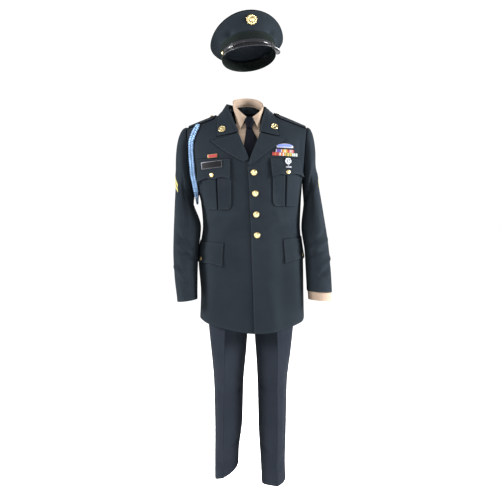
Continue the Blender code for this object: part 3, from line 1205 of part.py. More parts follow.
def visor():
    """The visor springs from the band's lower front edge and slopes down, widest at the middle."""
    turn = np.linspace(-VISOR_SPAN, VISOR_SPAN, 17)
    reach = np.array([0.0, 0.35, 0.7, 1.0])
    grown = np.cos(turn / VISOR_SPAN * np.pi / 2) ** 0.62
    base = band_oval(turn, np.zeros_like(turn))
    out = np.stack([np.sin(turn) * 0.55, -np.cos(turn), 0 * turn], axis=-1)
    out /= np.linalg.norm(out, axis=1, keepdims=True)
    start = base + np.stack([np.sin(turn), -np.cos(turn), 0 * turn], axis=-1) * VISOR_GAP
    far = np.maximum(grown, 0.06)[:, None, None] * reach[None, :, None]
    face = start[:, None] + out[:, None] * VISOR_REACH * far
    face[..., 2] -= (VISOR_DROP * far[..., 0] ** 1.15) - 0.004
    face[..., 2] -= VISOR_BOW * (np.abs(turn) / VISOR_SPAN)[:, None] ** 2
    wall("cap_visor", cap_to_world(face), cap_to_world(face - np.array([0, 0, VISOR_WALL])), "patent")


def main():
    clear_scene()
    coat_fronts()
    coat_backs()
    sleeves()
    lapels()
    collar()
    chest_pockets()
    skirt_flaps()
    epaulets()
    buttons()
    insignia()
    shoulder_cord()
    chevrons()
    shirt()
    tie()
    trousers()
    cap()


main()
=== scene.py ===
"""Dress uniform, worn and hollow: serge coat and trousers, shirt and tie, braided cord, insignia, cap.

Metres, +Z up. The front faces -Y and the wearer's left is +X. Every cloth piece is a grid of points on
one of a few surfaces (torso, sleeve, leg, cap), each a blend of the rows of a short table. Creases,
turned edges and seams are added to the height above the surface, so that what lies on a panel follows it.
"""

import bpy
import numpy as np
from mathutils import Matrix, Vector


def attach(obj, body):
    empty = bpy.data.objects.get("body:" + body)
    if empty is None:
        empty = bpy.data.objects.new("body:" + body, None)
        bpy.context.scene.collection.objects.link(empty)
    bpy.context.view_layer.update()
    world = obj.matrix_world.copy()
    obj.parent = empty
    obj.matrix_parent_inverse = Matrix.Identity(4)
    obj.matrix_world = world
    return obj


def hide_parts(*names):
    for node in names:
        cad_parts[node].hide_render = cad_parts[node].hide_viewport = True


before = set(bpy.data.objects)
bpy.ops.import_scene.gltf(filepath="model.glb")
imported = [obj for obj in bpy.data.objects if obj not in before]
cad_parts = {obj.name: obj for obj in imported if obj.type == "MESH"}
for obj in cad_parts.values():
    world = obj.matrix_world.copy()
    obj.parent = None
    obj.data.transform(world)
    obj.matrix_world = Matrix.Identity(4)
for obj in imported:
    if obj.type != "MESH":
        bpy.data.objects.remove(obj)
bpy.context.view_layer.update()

RIGHT, LEFT = -1, 1
SIDES = ((RIGHT, "right"), (LEFT, "left"))
COAT_WALL = 0.0020
TROUSER_WALL = 0.0018
SEAM_GAP = 0.0003
SEWN_GAP = 0.00005
LIFT = 0.0008
THREAD_STEP = 0.0034
LEVEL = np.array([1.0, 1.0, 0.0])

# The coat's levels. run is the way down the cloth from the shoulder seam.
# Columns: run, front_x, front_y, front_z, back_x, back_y, back_z, side_right, side_left,
# arm_front_y, arm_back_y, side_z, wrap
COAT_LEVELS = (
    (0.000, -0.005, 0.008, 0.040, -0.005, 0.008, 0.040, -0.238, 0.216, 0.004, 0.004, -0.038, 0.05),
    (0.040, -0.004, -0.072, -0.012, -0.006, 0.068, 0.018, -0.239, 0.215, -0.032, 0.038, -0.053, 0.10),
    (0.100, -0.001, -0.112, -0.080, -0.010, 0.108, -0.055, -0.236, 0.210, -0.052, 0.060, -0.094, 0.28),
    (0.185, 0.008, -0.131, -0.160, -0.012, 0.122, -0.150, -0.228, 0.206, -0.052, 0.062, -0.160, 0.50),
    (0.255, 0.016, -0.134, -0.230, -0.012, 0.123, -0.228, -0.214, 0.202, -0.034, 0.038, -0.234, 0.85),
    (0.290, 0.018, -0.134, -0.262, -0.012, 0.122, -0.262, -0.206, 0.199, 0.000, 0.000, -0.262, 1.00),
    (0.355, 0.021, -0.131, -0.325, -0.013, 0.113, -0.325, -0.188, 0.195, 0.000, 0.000, -0.325, 1.00),
    (0.445, 0.025, -0.127, -0.415, -0.013, 0.101, -0.415, -0.181, 0.192, 0.000, 0.000, -0.413, 1.00),
    (0.570, 0.029, -0.140, -0.540, -0.014, 0.124, -0.540, -0.198, 0.204, 0.000, 0.000, -0.537, 1.00),
    (0.715, 0.034, -0.147, -0.680, -0.014, 0.136, -0.680, -0.189, 0.206, 0.000, 0.000, -0.667, 1.00),
    (0.850, 0.037, -0.150, -0.813, -0.015, 0.141, -0.812, -0.192, 0.208, 0.000, 0.000, -0.765, 1.00),
)
COAT_HEM = 0.850
QUARTER = 0.25
ARMPIT = 0.290
BOXINESS = 0.06
SHOULDER_FALL = 2.2
RIDGE = 0.30
LAP_OVER = 0.024
LAP_UNDER = 0.020
LAP_LIFT = COAT_WALL + 0.0012
NECK_CENTRE = -0.012
BACK_NECK_DROP = 0.042
BACK_NECK_HALF = 0.072

# The roll line, where each front turns over into its lapel. Columns: run, x
ROLL_LINE = {
    RIGHT: ((0.000, -0.0850), (0.025, -0.0730), (0.060, -0.0560), (0.100, -0.0370), (0.150, -0.0180),
            (0.200, 0.0030), (0.225, 0.0200)),
    LEFT: ((0.000, 0.0600), (0.025, 0.0520), (0.060, 0.0430), (0.100, 0.0320), (0.135, 0.0190),
           (0.185, 0.0010), (0.215, -0.0080)),
}
BREAK_RUN = {RIGHT: 0.225, LEFT: 0.215}
LAPEL_FOOT = {RIGHT: 0.197, LEFT: 0.215}
GORGE_RUN = 0.0865
# The lapel's outer edge. Columns: up, run, x
LAPEL_EDGE = {
    RIGHT: ((0.00, 0.201, -0.0220), (0.18, 0.196, -0.0360), (0.36, 0.187, -0.0540), (0.58, 0.171, -0.0800),
            (0.78, 0.148, -0.1120), (1.00, 0.111, -0.1510)),
    LEFT: ((0.00, 0.216, -0.0060), (0.18, 0.204, 0.0180), (0.36, 0.184, 0.0440), (0.58, 0.164, 0.0680),
           (0.78, 0.142, 0.0950), (1.00, 0.103, 0.1380)),
}
# The collar from the gorge to the centre of the back.
# Columns: station, crease_across, crease_run, crease_rise, edge_across, edge_run
COLLAR_STATIONS = {
    RIGHT: ((0.00, 0.0325, -0.0850, 0.0052, 0.1140, -0.0950),
            (0.25, 0.0510, -0.0450, 0.0110, 0.1130, -0.0500),
            (0.55, 0.0680, -0.0020, 0.0290, 0.1060, -0.0010),
            (0.78, 0.0500, 0.0200, 0.0310, 0.0760, 0.0560),
            (1.00, 0.0000, 0.0340, 0.0300, 0.0000, 0.0800)),
    LEFT: ((0.00, 0.0490, -0.0850, 0.0052, 0.1230, -0.0920),
           (0.25, 0.0575, -0.0450, 0.0080, 0.1130, -0.0480),
           (0.55, 0.0690, -0.0020, 0.0140, 0.0960, -0.0010),
           (0.78, 0.0520, 0.0200, 0.0240, 0.0740, 0.0560),
           (1.00, 0.0000, 0.0340, 0.0300, 0.0000, 0.0800)),
}
# Columns: along, z, tilt, outer_x, inner_x, y, half_depth
SLEEVE_LEVELS = {
    RIGHT: ((0.22, -0.268, 0.066, -0.2835, -0.2160, 0.004, 0.074),
            (0.40, -0.390, 0.030, -0.2885, -0.1870, -0.022, 0.070),
            (0.60, -0.510, 0.008, -0.2915, -0.1960, -0.044, 0.066),
            (0.80, -0.600, 0.000, -0.2865, -0.1985, -0.056, 0.062),
            (1.00, -0.694, -0.005, -0.2750, -0.1990, -0.064, 0.058),
            (1.15, -0.750, -0.005, -0.2700, -0.1985, -0.068, 0.056)),
    LEFT: ((0.22, -0.268, 0.066, 0.2540, 0.2060, 0.012, 0.074),
           (0.40, -0.390, 0.030, 0.2800, 0.1965, -0.014, 0.070),
           (0.60, -0.500, 0.008, 0.2990, 0.2075, -0.038, 0.066),
           (0.80, -0.585, 0.000, 0.3070, 0.2115, -0.050, 0.062),
           (1.00, -0.661, -0.003, 0.3107, 0.2155, -0.056, 0.057),
           (1.15, -0.718, -0.003, 0.3107, 0.2190, -0.060, 0.055)),
}
HEAD_SHARE = 0.22
HEAD_OUT = {RIGHT: 0.115, LEFT: 0.085}
HEAD_DOWN = 0.200
UNDERARM_DOWN = 0.060
SLEEVE_ROUND = 0.42
SLEEVE_LONG = 0.66

# The trousers. Columns: drop, out_x, shift, crease_x, front_y, back_y, mid_x, front_mid_y, back_mid_y,
# mid_drop_right, mid_drop_left, roundness, spread
TROUSER_LEVELS = (
    (0.405, 0.158, 0.004, 0.078, -0.094, 0.074, 0.0002, -0.098, 0.080, 0.405, 0.405, 0.92, 0.5),
    (0.540, 0.174, 0.004, 0.086, -0.108, 0.1100, 0.0002, -0.106, 0.102, 0.545, 0.545, 0.88, 0.5),
    (0.615, 0.175, 0.004, 0.090, -0.110, 0.1173, 0.0002, -0.080, 0.088, 0.640, 0.640, 0.80, 0.5),
    (0.665, 0.173, 0.004, 0.092, -0.110, 0.1160, 0.0018, -0.0018, 0.0018, 0.680, 0.680, 0.72, 0.1),
    (0.760, 0.166, 0.004, 0.096, -0.107, 0.098, 0.0090, -0.0008, 0.0008, 0.765, 0.765, 0.66, 0.0),
    (0.880, 0.155, 0.004, 0.100, -0.104, 0.094, 0.0174, -0.0002, 0.0002, 0.880, 0.880, 0.62, 0.0),
    (1.020, 0.1414, 0.002, 0.101, -0.099, 0.088, 0.0271, -0.0002, 0.0002, 1.018, 1.022, 0.60, 0.0),
    (1.183, 0.1378, 0.002, 0.102, -0.096, 0.090, 0.0311, -0.0002, 0.0002, 1.165, 1.190, 0.60, 0.0),
    (1.324, 0.1365, 0.000, 0.103, -0.098, 0.094, 0.0420, -0.0002, 0.0002, 1.272, 1.340, 0.60, 0.0),
    (1.392, 0.1370, 0.001, 0.104, -0.101, 0.097, 0.0450, -0.0002, 0.0002, 1.323, 1.412, 0.60, 0.0),
)
WAIST_DROP = 0.405
HEM_DROP = 1.392
WAISTBAND_HEIGHT = 0.036

# Buttons: radius and height
LARGE_BUTTON, SMALL_BUTTON = (0.01145, 0.0055), (0.0080, 0.0045)
# Chest pockets: outer edge at top and bottom, inner edge, top and bottom. Flaps: middle, width, top,
# bottom, skew and slant. Skirt flaps: from and to way round, top and bottom level, skew.
CHEST_POCKET = {RIGHT: (-0.1840, -0.1700, -0.0670, -0.182, -0.3525),
                LEFT: (0.1850, 0.1790, 0.0820, -0.180, -0.3400)}
CHEST_FLAP = {RIGHT: (-0.1335, 0.123, -0.1625, -0.2335, 0.004, 0.000),
              LEFT: (0.1310, 0.116, -0.1610, -0.2205, 0.002, 0.008)}
SKIRT_FLAP = {RIGHT: (0.363, 1.057, 0.503, 0.583, 0.004), LEFT: (0.370, 1.144, 0.488, 0.568, 0.004)}
FLAP_STEP = 0.018
FLAP_POINT = 0.006
FLAP_CORNER = 0.012
SCALLOP_AT = 0.45
FLAP_RISE = 0.0051
FLAP_WALL = 0.0016
POCKET_RISE = 0.0012
POCKET_WALL = 0.0024
SKIRT_FLAP_RISE = 0.0014
EPAULET = {RIGHT: (-0.2330, -0.1270, -0.1450), LEFT: (0.2110, 0.0900, 0.1060)}
EPAULET_HALF = 0.027
EPAULET_TOP = 0.0040
FRONT_BUTTONS_Z = (-0.2150, -0.2920, -0.3695, -0.4470)
CHEST_BUTTON = {RIGHT: (-0.1400, -0.2235), LEFT: (0.1395, -0.2120)}
SKIRT_BUTTON = {RIGHT: (0.710, 0.569), LEFT: (0.757, 0.554)}
COLLAR_DISC = {RIGHT: (-0.1035, -0.0540), LEFT: (0.0908, -0.0435)}
POCKET_EDGES = ("first column", "first row", "last row")
CHEVRON_TURN = {RIGHT: 0.02, LEFT: 0.94}

# The cord over the coat (run, across, rise) and under the arm (x, y, z, twist)
CORD_OVER = ((0.0300, 0.790, 0.0056), (0.0600, 0.835, 0.0066), (0.1000, 0.885, 0.0078),
             (0.1400, 0.905, 0.0075), (0.1800, 0.900, 0.0080), (0.2080, 0.880, 0.0092))
CORD_UNDER = (
    (-0.2150, -0.0740, -0.222, 0.00), (-0.2095, -0.0660, -0.250, 0.10), (-0.2060, -0.0545, -0.275, 0.35),
    (-0.2045, -0.0380, -0.297, 0.70), (-0.2025, -0.0180, -0.315, 1.00), (-0.2020, 0.0030, -0.323, 1.00),
    (-0.2025, 0.0240, -0.316, 1.00), (-0.2050, 0.0440, -0.298, 0.70), (-0.2080, 0.0610, -0.275, 0.35),
    (-0.2125, 0.0740, -0.250, 0.10), (-0.2170, 0.0820, -0.222, 0.00),
)
TWIST_WEIGHT = 0.02

# The shirt collar's crease and edge, from the right front round the back to the left front
SHIRT_CREASE = (
    (-0.0138, -0.0800, -0.0045), (-0.0420, -0.0640, 0.0220), (-0.0650, -0.0250, 0.0540),
    (-0.0590, 0.0200, 0.0700), (-0.0360, 0.0460, 0.0770), (-0.0080, 0.0540, 0.0790),
    (0.0230, 0.0460, 0.0740), (0.0450, 0.0200, 0.0600), (0.0510, -0.0250, 0.0410),
    (0.0340, -0.0640, 0.0150), (0.0086, -0.0800, -0.0057),
)
SHIRT_EDGE = (
    (-0.0428, -0.1022, -0.0665), (-0.0520, -0.0720, -0.0220), (-0.0600, -0.0300, 0.0180),
    (-0.0560, 0.0170, 0.0360), (-0.0360, 0.0420, 0.0430), (-0.0080, 0.0500, 0.0450),
    (0.0210, 0.0420, 0.0400), (0.0400, 0.0170, 0.0260), (0.0410, -0.0300, 0.0060),
    (0.0400, -0.0700, -0.0220), (0.0354, -0.1020, -0.0615),
)
SHIRT_RISE = -0.0055
# The tie. Columns: z, x, y, half_wide, half_deep; then run, x, half_wide, rise, crown
TIE_KNOT = (
    (-0.0060, -0.0019, -0.0875, 0.0105, 0.0060), (-0.0120, -0.0019, -0.0905, 0.0150, 0.0090),
    (-0.0250, -0.0017, -0.0940, 0.0166, 0.0105), (-0.0380, -0.0022, -0.0965, 0.0135, 0.0095),
    (-0.0470, -0.0026, -0.0975, 0.0110, 0.0075),
)
TIE_LINE = (
    (0.050, -0.0022, 0.0105, -0.0010, 1.0), (0.070, -0.0026, 0.0120, -0.0026, 1.0),
    (0.108, 0.0037, 0.0230, -0.0034, 0.6), (0.160, 0.0040, 0.0290, -0.0034, 0.0),
    (0.200, 0.0050, 0.0320, -0.0034, 0.0), (0.245, 0.0070, 0.0350, -0.0034, 0.0),
)

# The camera, the lights (name, place, size, power), the sky and the floor
LENS_MM, FILM_MM = 67.4, 36.0
EYE, EYE_TILT = (0.0, -3.6, -0.35), np.radians(87.5)
LIGHTS = (("left side", (-3.6, -1.0, 0.8), 1.2, 330.0), ("right side", (3.6, -0.9, 0.5), 1.2, 430.0),
          ("front", (-1.2, -3.6, 2.0), 1.2, 45.0), ("rear", (0.6, 3.4, 1.7), 1.6, 120.0))
LIGHT_AIM = (0.0, 0.0, -0.45)
SKY, EXPOSURE = 0.70, 0.60
FLOOR_Z, FLOOR_REACH = -1.50, 70

# The cap, in its own frame: the middle of the band's lower edge is its origin, and -Y is its front
CAP_PLACE = (-0.0040, 0.0020, 0.2260)
CAP_TILT, CAP_TURN, CAP_LEAN = np.radians((-20.0, 12.0, -3.0))
CAP_WALL = 0.0024
BAND_HALF_WIDTH = 0.1040
BAND_HALF_LENGTH = 0.1090
BAND_HEIGHT = 0.0520
BAND_BACK_SHARE = 0.80
BAND_FLARE = 0.02
CROWN_HALF_WIDTH = 0.1410
CROWN_LENGTH = 0.1300
CROWN_HEIGHT_FRONT = 0.1270
CROWN_HEIGHT_SIDE = 0.0660
CROWN_HEIGHT_BACK = 0.0470
CROWN_PUFF = 0.006
VISOR_REACH = 0.0500
VISOR_DROP = 0.0400
VISOR_BOW = 0.008
VISOR_SPAN = np.radians(72.0)
VISOR_WALL = 0.0024
STRAP_LOW = 0.0060
STRAP_TALL = 0.0125
STRAP_SPAN = np.radians(72.0)
SLIDE_TURN = np.radians(46.0)
CAP_BUTTON_TURN = np.radians(79.0)

# How much deeper than their tables say the creases are, and the length that across spans
FRONT_DEPTH, BACK_DEPTH, SLEEVE_DEPTH, LEG_DEPTH = 2.3, 2.1, 2.2, 1.9
COAT_HALF = 0.22
LEG_WAY = 0.23
# Creases, as soft lines on the cloth: from (u, v) to (u, v), half width and height, in metres.
# On the coat u goes across from the middle, to the wearer's left, and v is the way down.
COAT_FRONT_FOLDS = (
    (-0.105, 0.560, -0.128, 0.850, 0.026, 0.0040), (-0.060, 0.600, -0.066, 0.850, 0.022, -0.0022),
    (0.118, 0.540, 0.142, 0.850, 0.028, 0.0042), (0.072, 0.500, 0.078, 0.850, 0.026, -0.0026),
    (-0.030, 0.350, -0.090, 0.500, 0.016, 0.0014), (-0.060, 0.420, -0.150, 0.455, 0.012, -0.0013),
    (0.050, 0.455, 0.140, 0.410, 0.012, -0.0014), (0.045, 0.480, 0.150, 0.462, 0.014, 0.0014),
    (0.034, 0.300, 0.070, 0.420, 0.014, 0.0013), (-0.175, 0.330, -0.150, 0.470, 0.014, -0.0016),
    (0.172, 0.330, 0.158, 0.470, 0.014, -0.0015), (-0.198, 0.120, -0.176, 0.235, 0.010, -0.0012),
    (0.192, 0.100, 0.182, 0.220, 0.011, -0.0014), (0.030, 0.660, 0.050, 0.840, 0.018, 0.0016),
)
COAT_BACK_FOLDS = (
    (-0.120, 0.120, -0.105, 0.360, 0.026, 0.0026), (0.122, 0.110, 0.108, 0.350, 0.026, 0.0028),
    (-0.060, 0.200, -0.045, 0.400, 0.020, -0.0016), (0.058, 0.210, 0.040, 0.410, 0.020, -0.0014),
    (-0.150, 0.430, -0.040, 0.462, 0.014, 0.0022), (0.040, 0.448, 0.150, 0.425, 0.014, 0.0020),
    (-0.130, 0.462, -0.030, 0.486, 0.012, 0.0015), (-0.085, 0.700, -0.092, 0.850, 0.026, 0.0036),
    (0.085, 0.690, 0.095, 0.850, 0.028, 0.0038), (-0.160, 0.680, -0.165, 0.850, 0.020, 0.0024),
    (0.030, 0.075, 0.120, 0.090, 0.012, -0.0012), (-0.120, 0.092, -0.030, 0.074, 0.012, -0.0012),
)
# On a sleeve u is the way round from its outer side over its front, and v the way down from its head
SLEEVE_FOLDS = {
    RIGHT: (
        (0.040, 0.060, 0.060, 0.300, 0.020, 0.0022), (0.105, 0.120, 0.115, 0.330, 0.018, -0.0030),
        (0.010, 0.150, 0.030, 0.240, 0.014, -0.0016), (0.060, 0.330, 0.150, 0.370, 0.013, -0.0036),
        (0.050, 0.365, 0.140, 0.400, 0.012, 0.0030), (0.075, 0.400, 0.165, 0.425, 0.013, -0.0030),
        (0.030, 0.440, 0.095, 0.500, 0.013, -0.0026), (0.025, 0.480, 0.100, 0.530, 0.012, 0.0024),
        (0.060, 0.540, 0.120, 0.575, 0.012, -0.0016), (0.350, 0.100, 0.330, 0.300, 0.022, -0.0026),
        (0.300, 0.330, 0.380, 0.350, 0.014, -0.0030), (0.290, 0.365, 0.390, 0.385, 0.013, 0.0028),
        (0.300, 0.400, 0.370, 0.430, 0.014, -0.0022), (0.370, 0.460, 0.350, 0.600, 0.018, 0.0020),
    ),
    LEFT: (
        (0.030, 0.120, 0.410, 0.130, 0.018, -0.0034), (0.020, 0.150, 0.080, 0.175, 0.014, 0.0026),
        (0.060, 0.180, 0.075, 0.330, 0.018, 0.0024), (0.110, 0.120, 0.125, 0.340, 0.018, -0.0030),
        (0.040, 0.330, 0.150, 0.365, 0.013, -0.0034), (0.030, 0.362, 0.140, 0.398, 0.012, 0.0032),
        (0.045, 0.400, 0.155, 0.430, 0.013, -0.0034), (0.020, 0.450, 0.100, 0.500, 0.013, 0.0030),
        (0.015, 0.485, 0.105, 0.545, 0.013, -0.0034), (0.030, 0.545, 0.110, 0.575, 0.011, 0.0020),
        (0.350, 0.110, 0.335, 0.320, 0.022, -0.0024), (0.300, 0.350, 0.385, 0.372, 0.014, -0.0030),
        (0.300, 0.385, 0.380, 0.410, 0.013, 0.0026), (0.365, 0.450, 0.345, 0.600, 0.018, 0.0020),
    ),
}
# On a leg u is the way from the side seam to the inseam, and v is the drop below the neck
LEG_FRONT_FOLDS = (
    (0.215, 0.690, 0.150, 0.760, 0.014, -0.0030), (0.220, 0.730, 0.130, 0.800, 0.013, 0.0020),
    (0.215, 0.760, 0.150, 0.860, 0.016, -0.0024), (0.030, 0.900, 0.050, 1.250, 0.022, -0.0024),
    (0.200, 0.900, 0.190, 1.220, 0.020, -0.0022), (0.060, 1.015, 0.110, 1.035, 0.014, -0.0022),
    (0.150, 1.040, 0.210, 1.020, 0.013, -0.0020), (0.060, 1.065, 0.100, 1.090, 0.014, 0.0014),
    (0.150, 1.275, 0.215, 1.240, 0.014, -0.0026), (0.040, 1.300, 0.110, 1.325, 0.014, -0.0024),
    (0.050, 1.335, 0.115, 1.350, 0.012, 0.0018),
)
LEG_BACK_FOLDS = (
    (0.210, 0.700, 0.100, 0.760, 0.016, -0.0028), (0.215, 0.735, 0.090, 0.800, 0.014, -0.0022),
    (0.040, 0.980, 0.120, 1.010, 0.014, -0.0030), (0.050, 1.010, 0.130, 1.035, 0.013, 0.0022),
    (0.140, 1.015, 0.215, 0.985, 0.014, -0.0028), (0.060, 1.045, 0.120, 1.060, 0.013, -0.0022),
    (0.040, 0.850, 0.050, 1.250, 0.022, -0.0022), (0.060, 1.300, 0.120, 1.320, 0.014, -0.0024),
)


def level_of(rows, at):
    """Cubic curves through a table's rows, keyed by its first column, that never overshoot a row:
    each slope is the harmonic mean of the rises on its two sides, or nothing where they disagree."""
    rows = np.asarray(rows, float)
    at = np.asarray(at, float)
    key, value = rows[:, 0], rows[:, 1:]
    rise = np.diff(value, axis=0) / np.diff(key)[:, None]
    product, both = rise[:-1] * rise[1:], rise[:-1] + rise[1:]
    inner = np.where(product > 0, 2 * product / np.where(product > 0, both, 1.0), 0.0)
    slope = np.vstack([rise[:1], inner, rise[-1:]])
    place = np.clip(np.searchsorted(key, at, side="right") - 1, 0, len(key) - 2)
    width = (key[place + 1] - key[place])[..., None]
    t = (at - key[place])[..., None] / width
    ends = (1 - t) ** 2 * (1 + 2 * t) * value[place] + t ** 2 * (3 - 2 * t) * value[place + 1]
    return ends + width * (t * (1 - t) ** 2 * slope[place] - t ** 2 * (1 - t) * slope[place + 1])


def columns_of(rows, at):
    """The same, a column at a time."""
    return np.moveaxis(level_of(rows, at), -1, 0)


def stack(*columns):
    """Arrays side by side, as the last axis of one array."""
    return np.stack(np.broadcast_arrays(*columns), axis=-1)


def ease(t):
    """A soft step from 0 to 1: 3t^2 - 2t^3."""
    t = np.clip(t, 0.0, 1.0)
    return t * t * (3 - 2 * t)


def unit(vectors):
    """The same directions, each one long."""
    return vectors / np.maximum(np.linalg.norm(vectors, axis=-1, keepdims=True), 1e-12)


def bell(x, half, power=2):
    """A soft hump of height 1: exp(-(x / half)^power)."""
    return np.exp(-(x / half) ** power)


def grid_of(a, b):
    """Two lists of shares as a grid."""
    return np.meshgrid(a, b, indexing="ij")


def soft_lines(table, u, v):
    """Creases: each adds height * exp(-(distance from its line / half width)^2), less at its ends."""
    rise = np.zeros(np.broadcast(u, v).shape)
    for u0, v0, u1, v1, width, height in table:
        along = ((u - u0) * (u1 - u0) + (v - v0) * (v1 - v0)) / ((u1 - u0) ** 2 + (v1 - v0) ** 2)
        near = np.clip(along, 0, 1)
        away = np.hypot(u - u0 - near * (u1 - u0), v - v0 - near * (v1 - v0))
        rise += height * np.exp(-(away / width) ** 2 - (1.7 * np.abs(along - 0.5)) ** 4)
    return rise


def coat_rows():
    """The coat's levels as one run, from the front hem (negative) over the shoulder to the back hem."""
    t = np.asarray(COAT_LEVELS)
    front = np.column_stack([-t[:, 0], t[:, 1:4], t[:, 7:9], t[:, 9], t[:, 11:13]])
    back = np.column_stack([t[:, 0], t[:, 4:7], t[:, 7:9], t[:, 10], t[:, 11:13]])
    return np.vstack([front[::-1], back[1:]])


COAT_ROWS = coat_rows()


def torso(side, across, run):
    """The coat's surface. At each level it blends a flat front (across) with a round one (sine), by
    that level's wrap, and drops towards the shoulder's end by a rounded slope."""
    across, run = np.broadcast_arrays(np.asarray(across, float), np.asarray(run, float))
    mid_x, mid_y, mid_z, right_x, left_x, edge_y, edge_z, wrap = columns_of(COAT_ROWS, run)
    edge_x = right_x if side == RIGHT else left_x
    angle = across * np.pi / 2
    swell = 1 + BOXINESS * np.sin(2 * angle) ** 2
    out = (1 - wrap) * across + wrap * swell * np.sin(angle)
    turn = (1 - wrap) * np.abs(across) ** SHOULDER_FALL + wrap * (1 - swell * np.cos(angle))
    fall = (1 - wrap) * (1 + RIDGE) * out ** 2 / (np.abs(out) + RIDGE) + wrap * out ** 2
    return stack(mid_x + (edge_x - mid_x) * out, mid_y + (edge_y - mid_y) * turn,
                 mid_z + (edge_z - mid_z) * fall)


def torso_normal(side, across, run):
    """The outward direction: the cross product of small steps each way."""
    step = 0.004
    way = torso(side, np.asarray(across) + step, run) - torso(side, np.asarray(across) - step, run)
    down = torso(side, across, np.asarray(run) + step) - torso(side, across, np.asarray(run) - step)
    return unit(side * np.cross(way, down))


def coat_folds(side, across, run):
    """The coat's creases at a place. They die out at the side seam and the armhole."""
    u = COAT_HALF * side * across
    front = FRONT_DEPTH * soft_lines(COAT_FRONT_FOLDS, u, -run)
    back = BACK_DEPTH * soft_lines(COAT_BACK_FOLDS, u, run)
    fade = ease((1 - np.abs(across)) / 0.16) * ease((np.abs(run) - 0.03) / 0.06)
    return np.where(run < 0, front, back) * fade


def on_torso(side, across, run, rise):
    """A point above the coat's surface, creases included."""
    across, run, rise = np.broadcast_arrays(across, run, np.asarray(rise, float))
    lifted = rise + coat_folds(side, across, run)
    return torso(side, across, run) + torso_normal(side, across, run) * lifted[..., None]


def across_at(side, run, x):
    """The share of the way across at which the surface has a given world x."""
    share = np.zeros(np.broadcast(run, x).shape)
    for _ in range(30):
        share = share + side * (x - torso(side, share, run)[..., 0]) * 3.0
    return share


def locate(side, x, z):
    """The across and run at which the coat's front has a given world x and z."""
    x, z = np.broadcast_arrays(np.asarray(x, float), np.asarray(z, float))
    across = np.clip(side * x / COAT_HALF, -0.2, 0.95)
    run = np.clip(z - 0.03, -0.80, -0.05)
    for _ in range(40):
        here = torso(side, across, run)
        across = np.clip(across + side * (x - here[..., 0]) * 3.0, -0.3, 1.0)
        run = np.clip(run + (z - here[..., 2]) * 0.8, -0.849, -0.002)
    return across, run


def lap_lift(side, x, run):
    """How far the left front stands out where it laps over the right one."""
    if side == RIGHT:
        return np.zeros(np.broadcast(x, run).shape)
    away = x - level_of(COAT_ROWS, run)[..., 0]
    return LAP_LIFT * (1 - ease((away - 0.030) / 0.055)) * ease((-run - 0.02) / 0.10)


def grid_normal(points, outward):
    """Unit normals of a grid of points, from its neighbours each way, on the side outward gives."""
    normal = unit(np.cross(np.gradient(points, axis=0), np.gradient(points, axis=1)))
    return normal * np.sign(np.sum(normal * outward))


def steps(count, near=0.006):
    """Shares from 0 to 1, closer together at both ends so that an edge can be rounded."""
    ends = np.array([0.0, 0.25, 0.6, 1.0]) * near
    return np.concatenate([ends[:-1], np.linspace(near, 1 - near, count), 1 - ends[-2::-1]])


def run_along(points):
    """The way along a line of points, from 0 at its start."""
    return np.concatenate([[0], np.cumsum(np.linalg.norm(np.diff(points, axis=0), axis=1))])


def path_points(points, at):
    """A smooth curve through a route's own points, at shares of its length: cubics whose slopes come
    from each point's two neighbours."""
    points = np.asarray(points, float)
    way = run_along(points)
    padded = np.vstack([2 * points[0] - points[1], points, 2 * points[-1] - points[-2]])
    fine = np.asarray(at) * way[-1]
    place = np.clip(np.searchsorted(way, fine, side="right") - 1, 0, len(points) - 2)
    width = (way[place + 1] - way[place])[:, None]
    t = (fine - way[place])[:, None] / width
    before = np.concatenate([[-way[1]], way, [2 * way[-1] - way[-2]]])
    slope = (padded[2:] - padded[:-2]) / (before[2:] - before[:-2])[:, None]
    return ((1 - t) ** 2 * (1 + 2 * t) * points[place] + t ** 2 * (3 - 2 * t) * points[place + 1]
            + width * (t * (1 - t) ** 2 * slope[place] - t ** 2 * (1 - t) * slope[place + 1]))


def make(name, points, faces, finish, solid="", uv=None, marks=None, dye=None):
    """A piece from points and faces (blocks of rows of equal length), which rides on the body. It
    stands for the solid that its name gives without the last word, or for the one that is named, or
    for none. uv is a row for each corner, marks and dye a value for each point."""
    faces = [row for block in faces for row in np.asarray(block).tolist()]
    mesh = bpy.data.meshes.new(name)
    mesh.from_pydata(np.asarray(points, float).tolist(), [], faces)
    mesh.shade_smooth()
    if uv is not None:
        mesh.uv_layers.new(name="cloth").data.foreach_set("uv", np.asarray(uv, np.float32).ravel())
    if marks is not None:
        mesh.attributes.new("edge", "FLOAT", "POINT").data.foreach_set("value", marks.astype(np.float32))
    if dye is not None:
        colours = np.column_stack([dye, np.ones(len(dye))]).astype(np.float32)
        mesh.attributes.new("dye", "FLOAT_COLOR", "POINT").data.foreach_set("color", colours.ravel())
    mesh.materials.append(finish)
    mesh.validate()
    piece = bpy.data.objects.new(name, mesh)
    bpy.context.scene.collection.objects.link(piece)
    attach(piece, "root")
    if solid is not None:
        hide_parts(solid or name.rsplit("_", 1)[0])
    return piece


def quads(rows, columns, wrap=False):
    """The faces of a grid of points, as an array of four corners each."""
    i = np.arange(rows if wrap else rows - 1)[:, None]
    j = np.arange(columns - 1)[None, :]
    a, b = i * columns + j, ((i + 1) % rows if wrap else i + 1) * columns + j
    return stack(a, b, b + 1, a + 1).reshape(-1, 4)


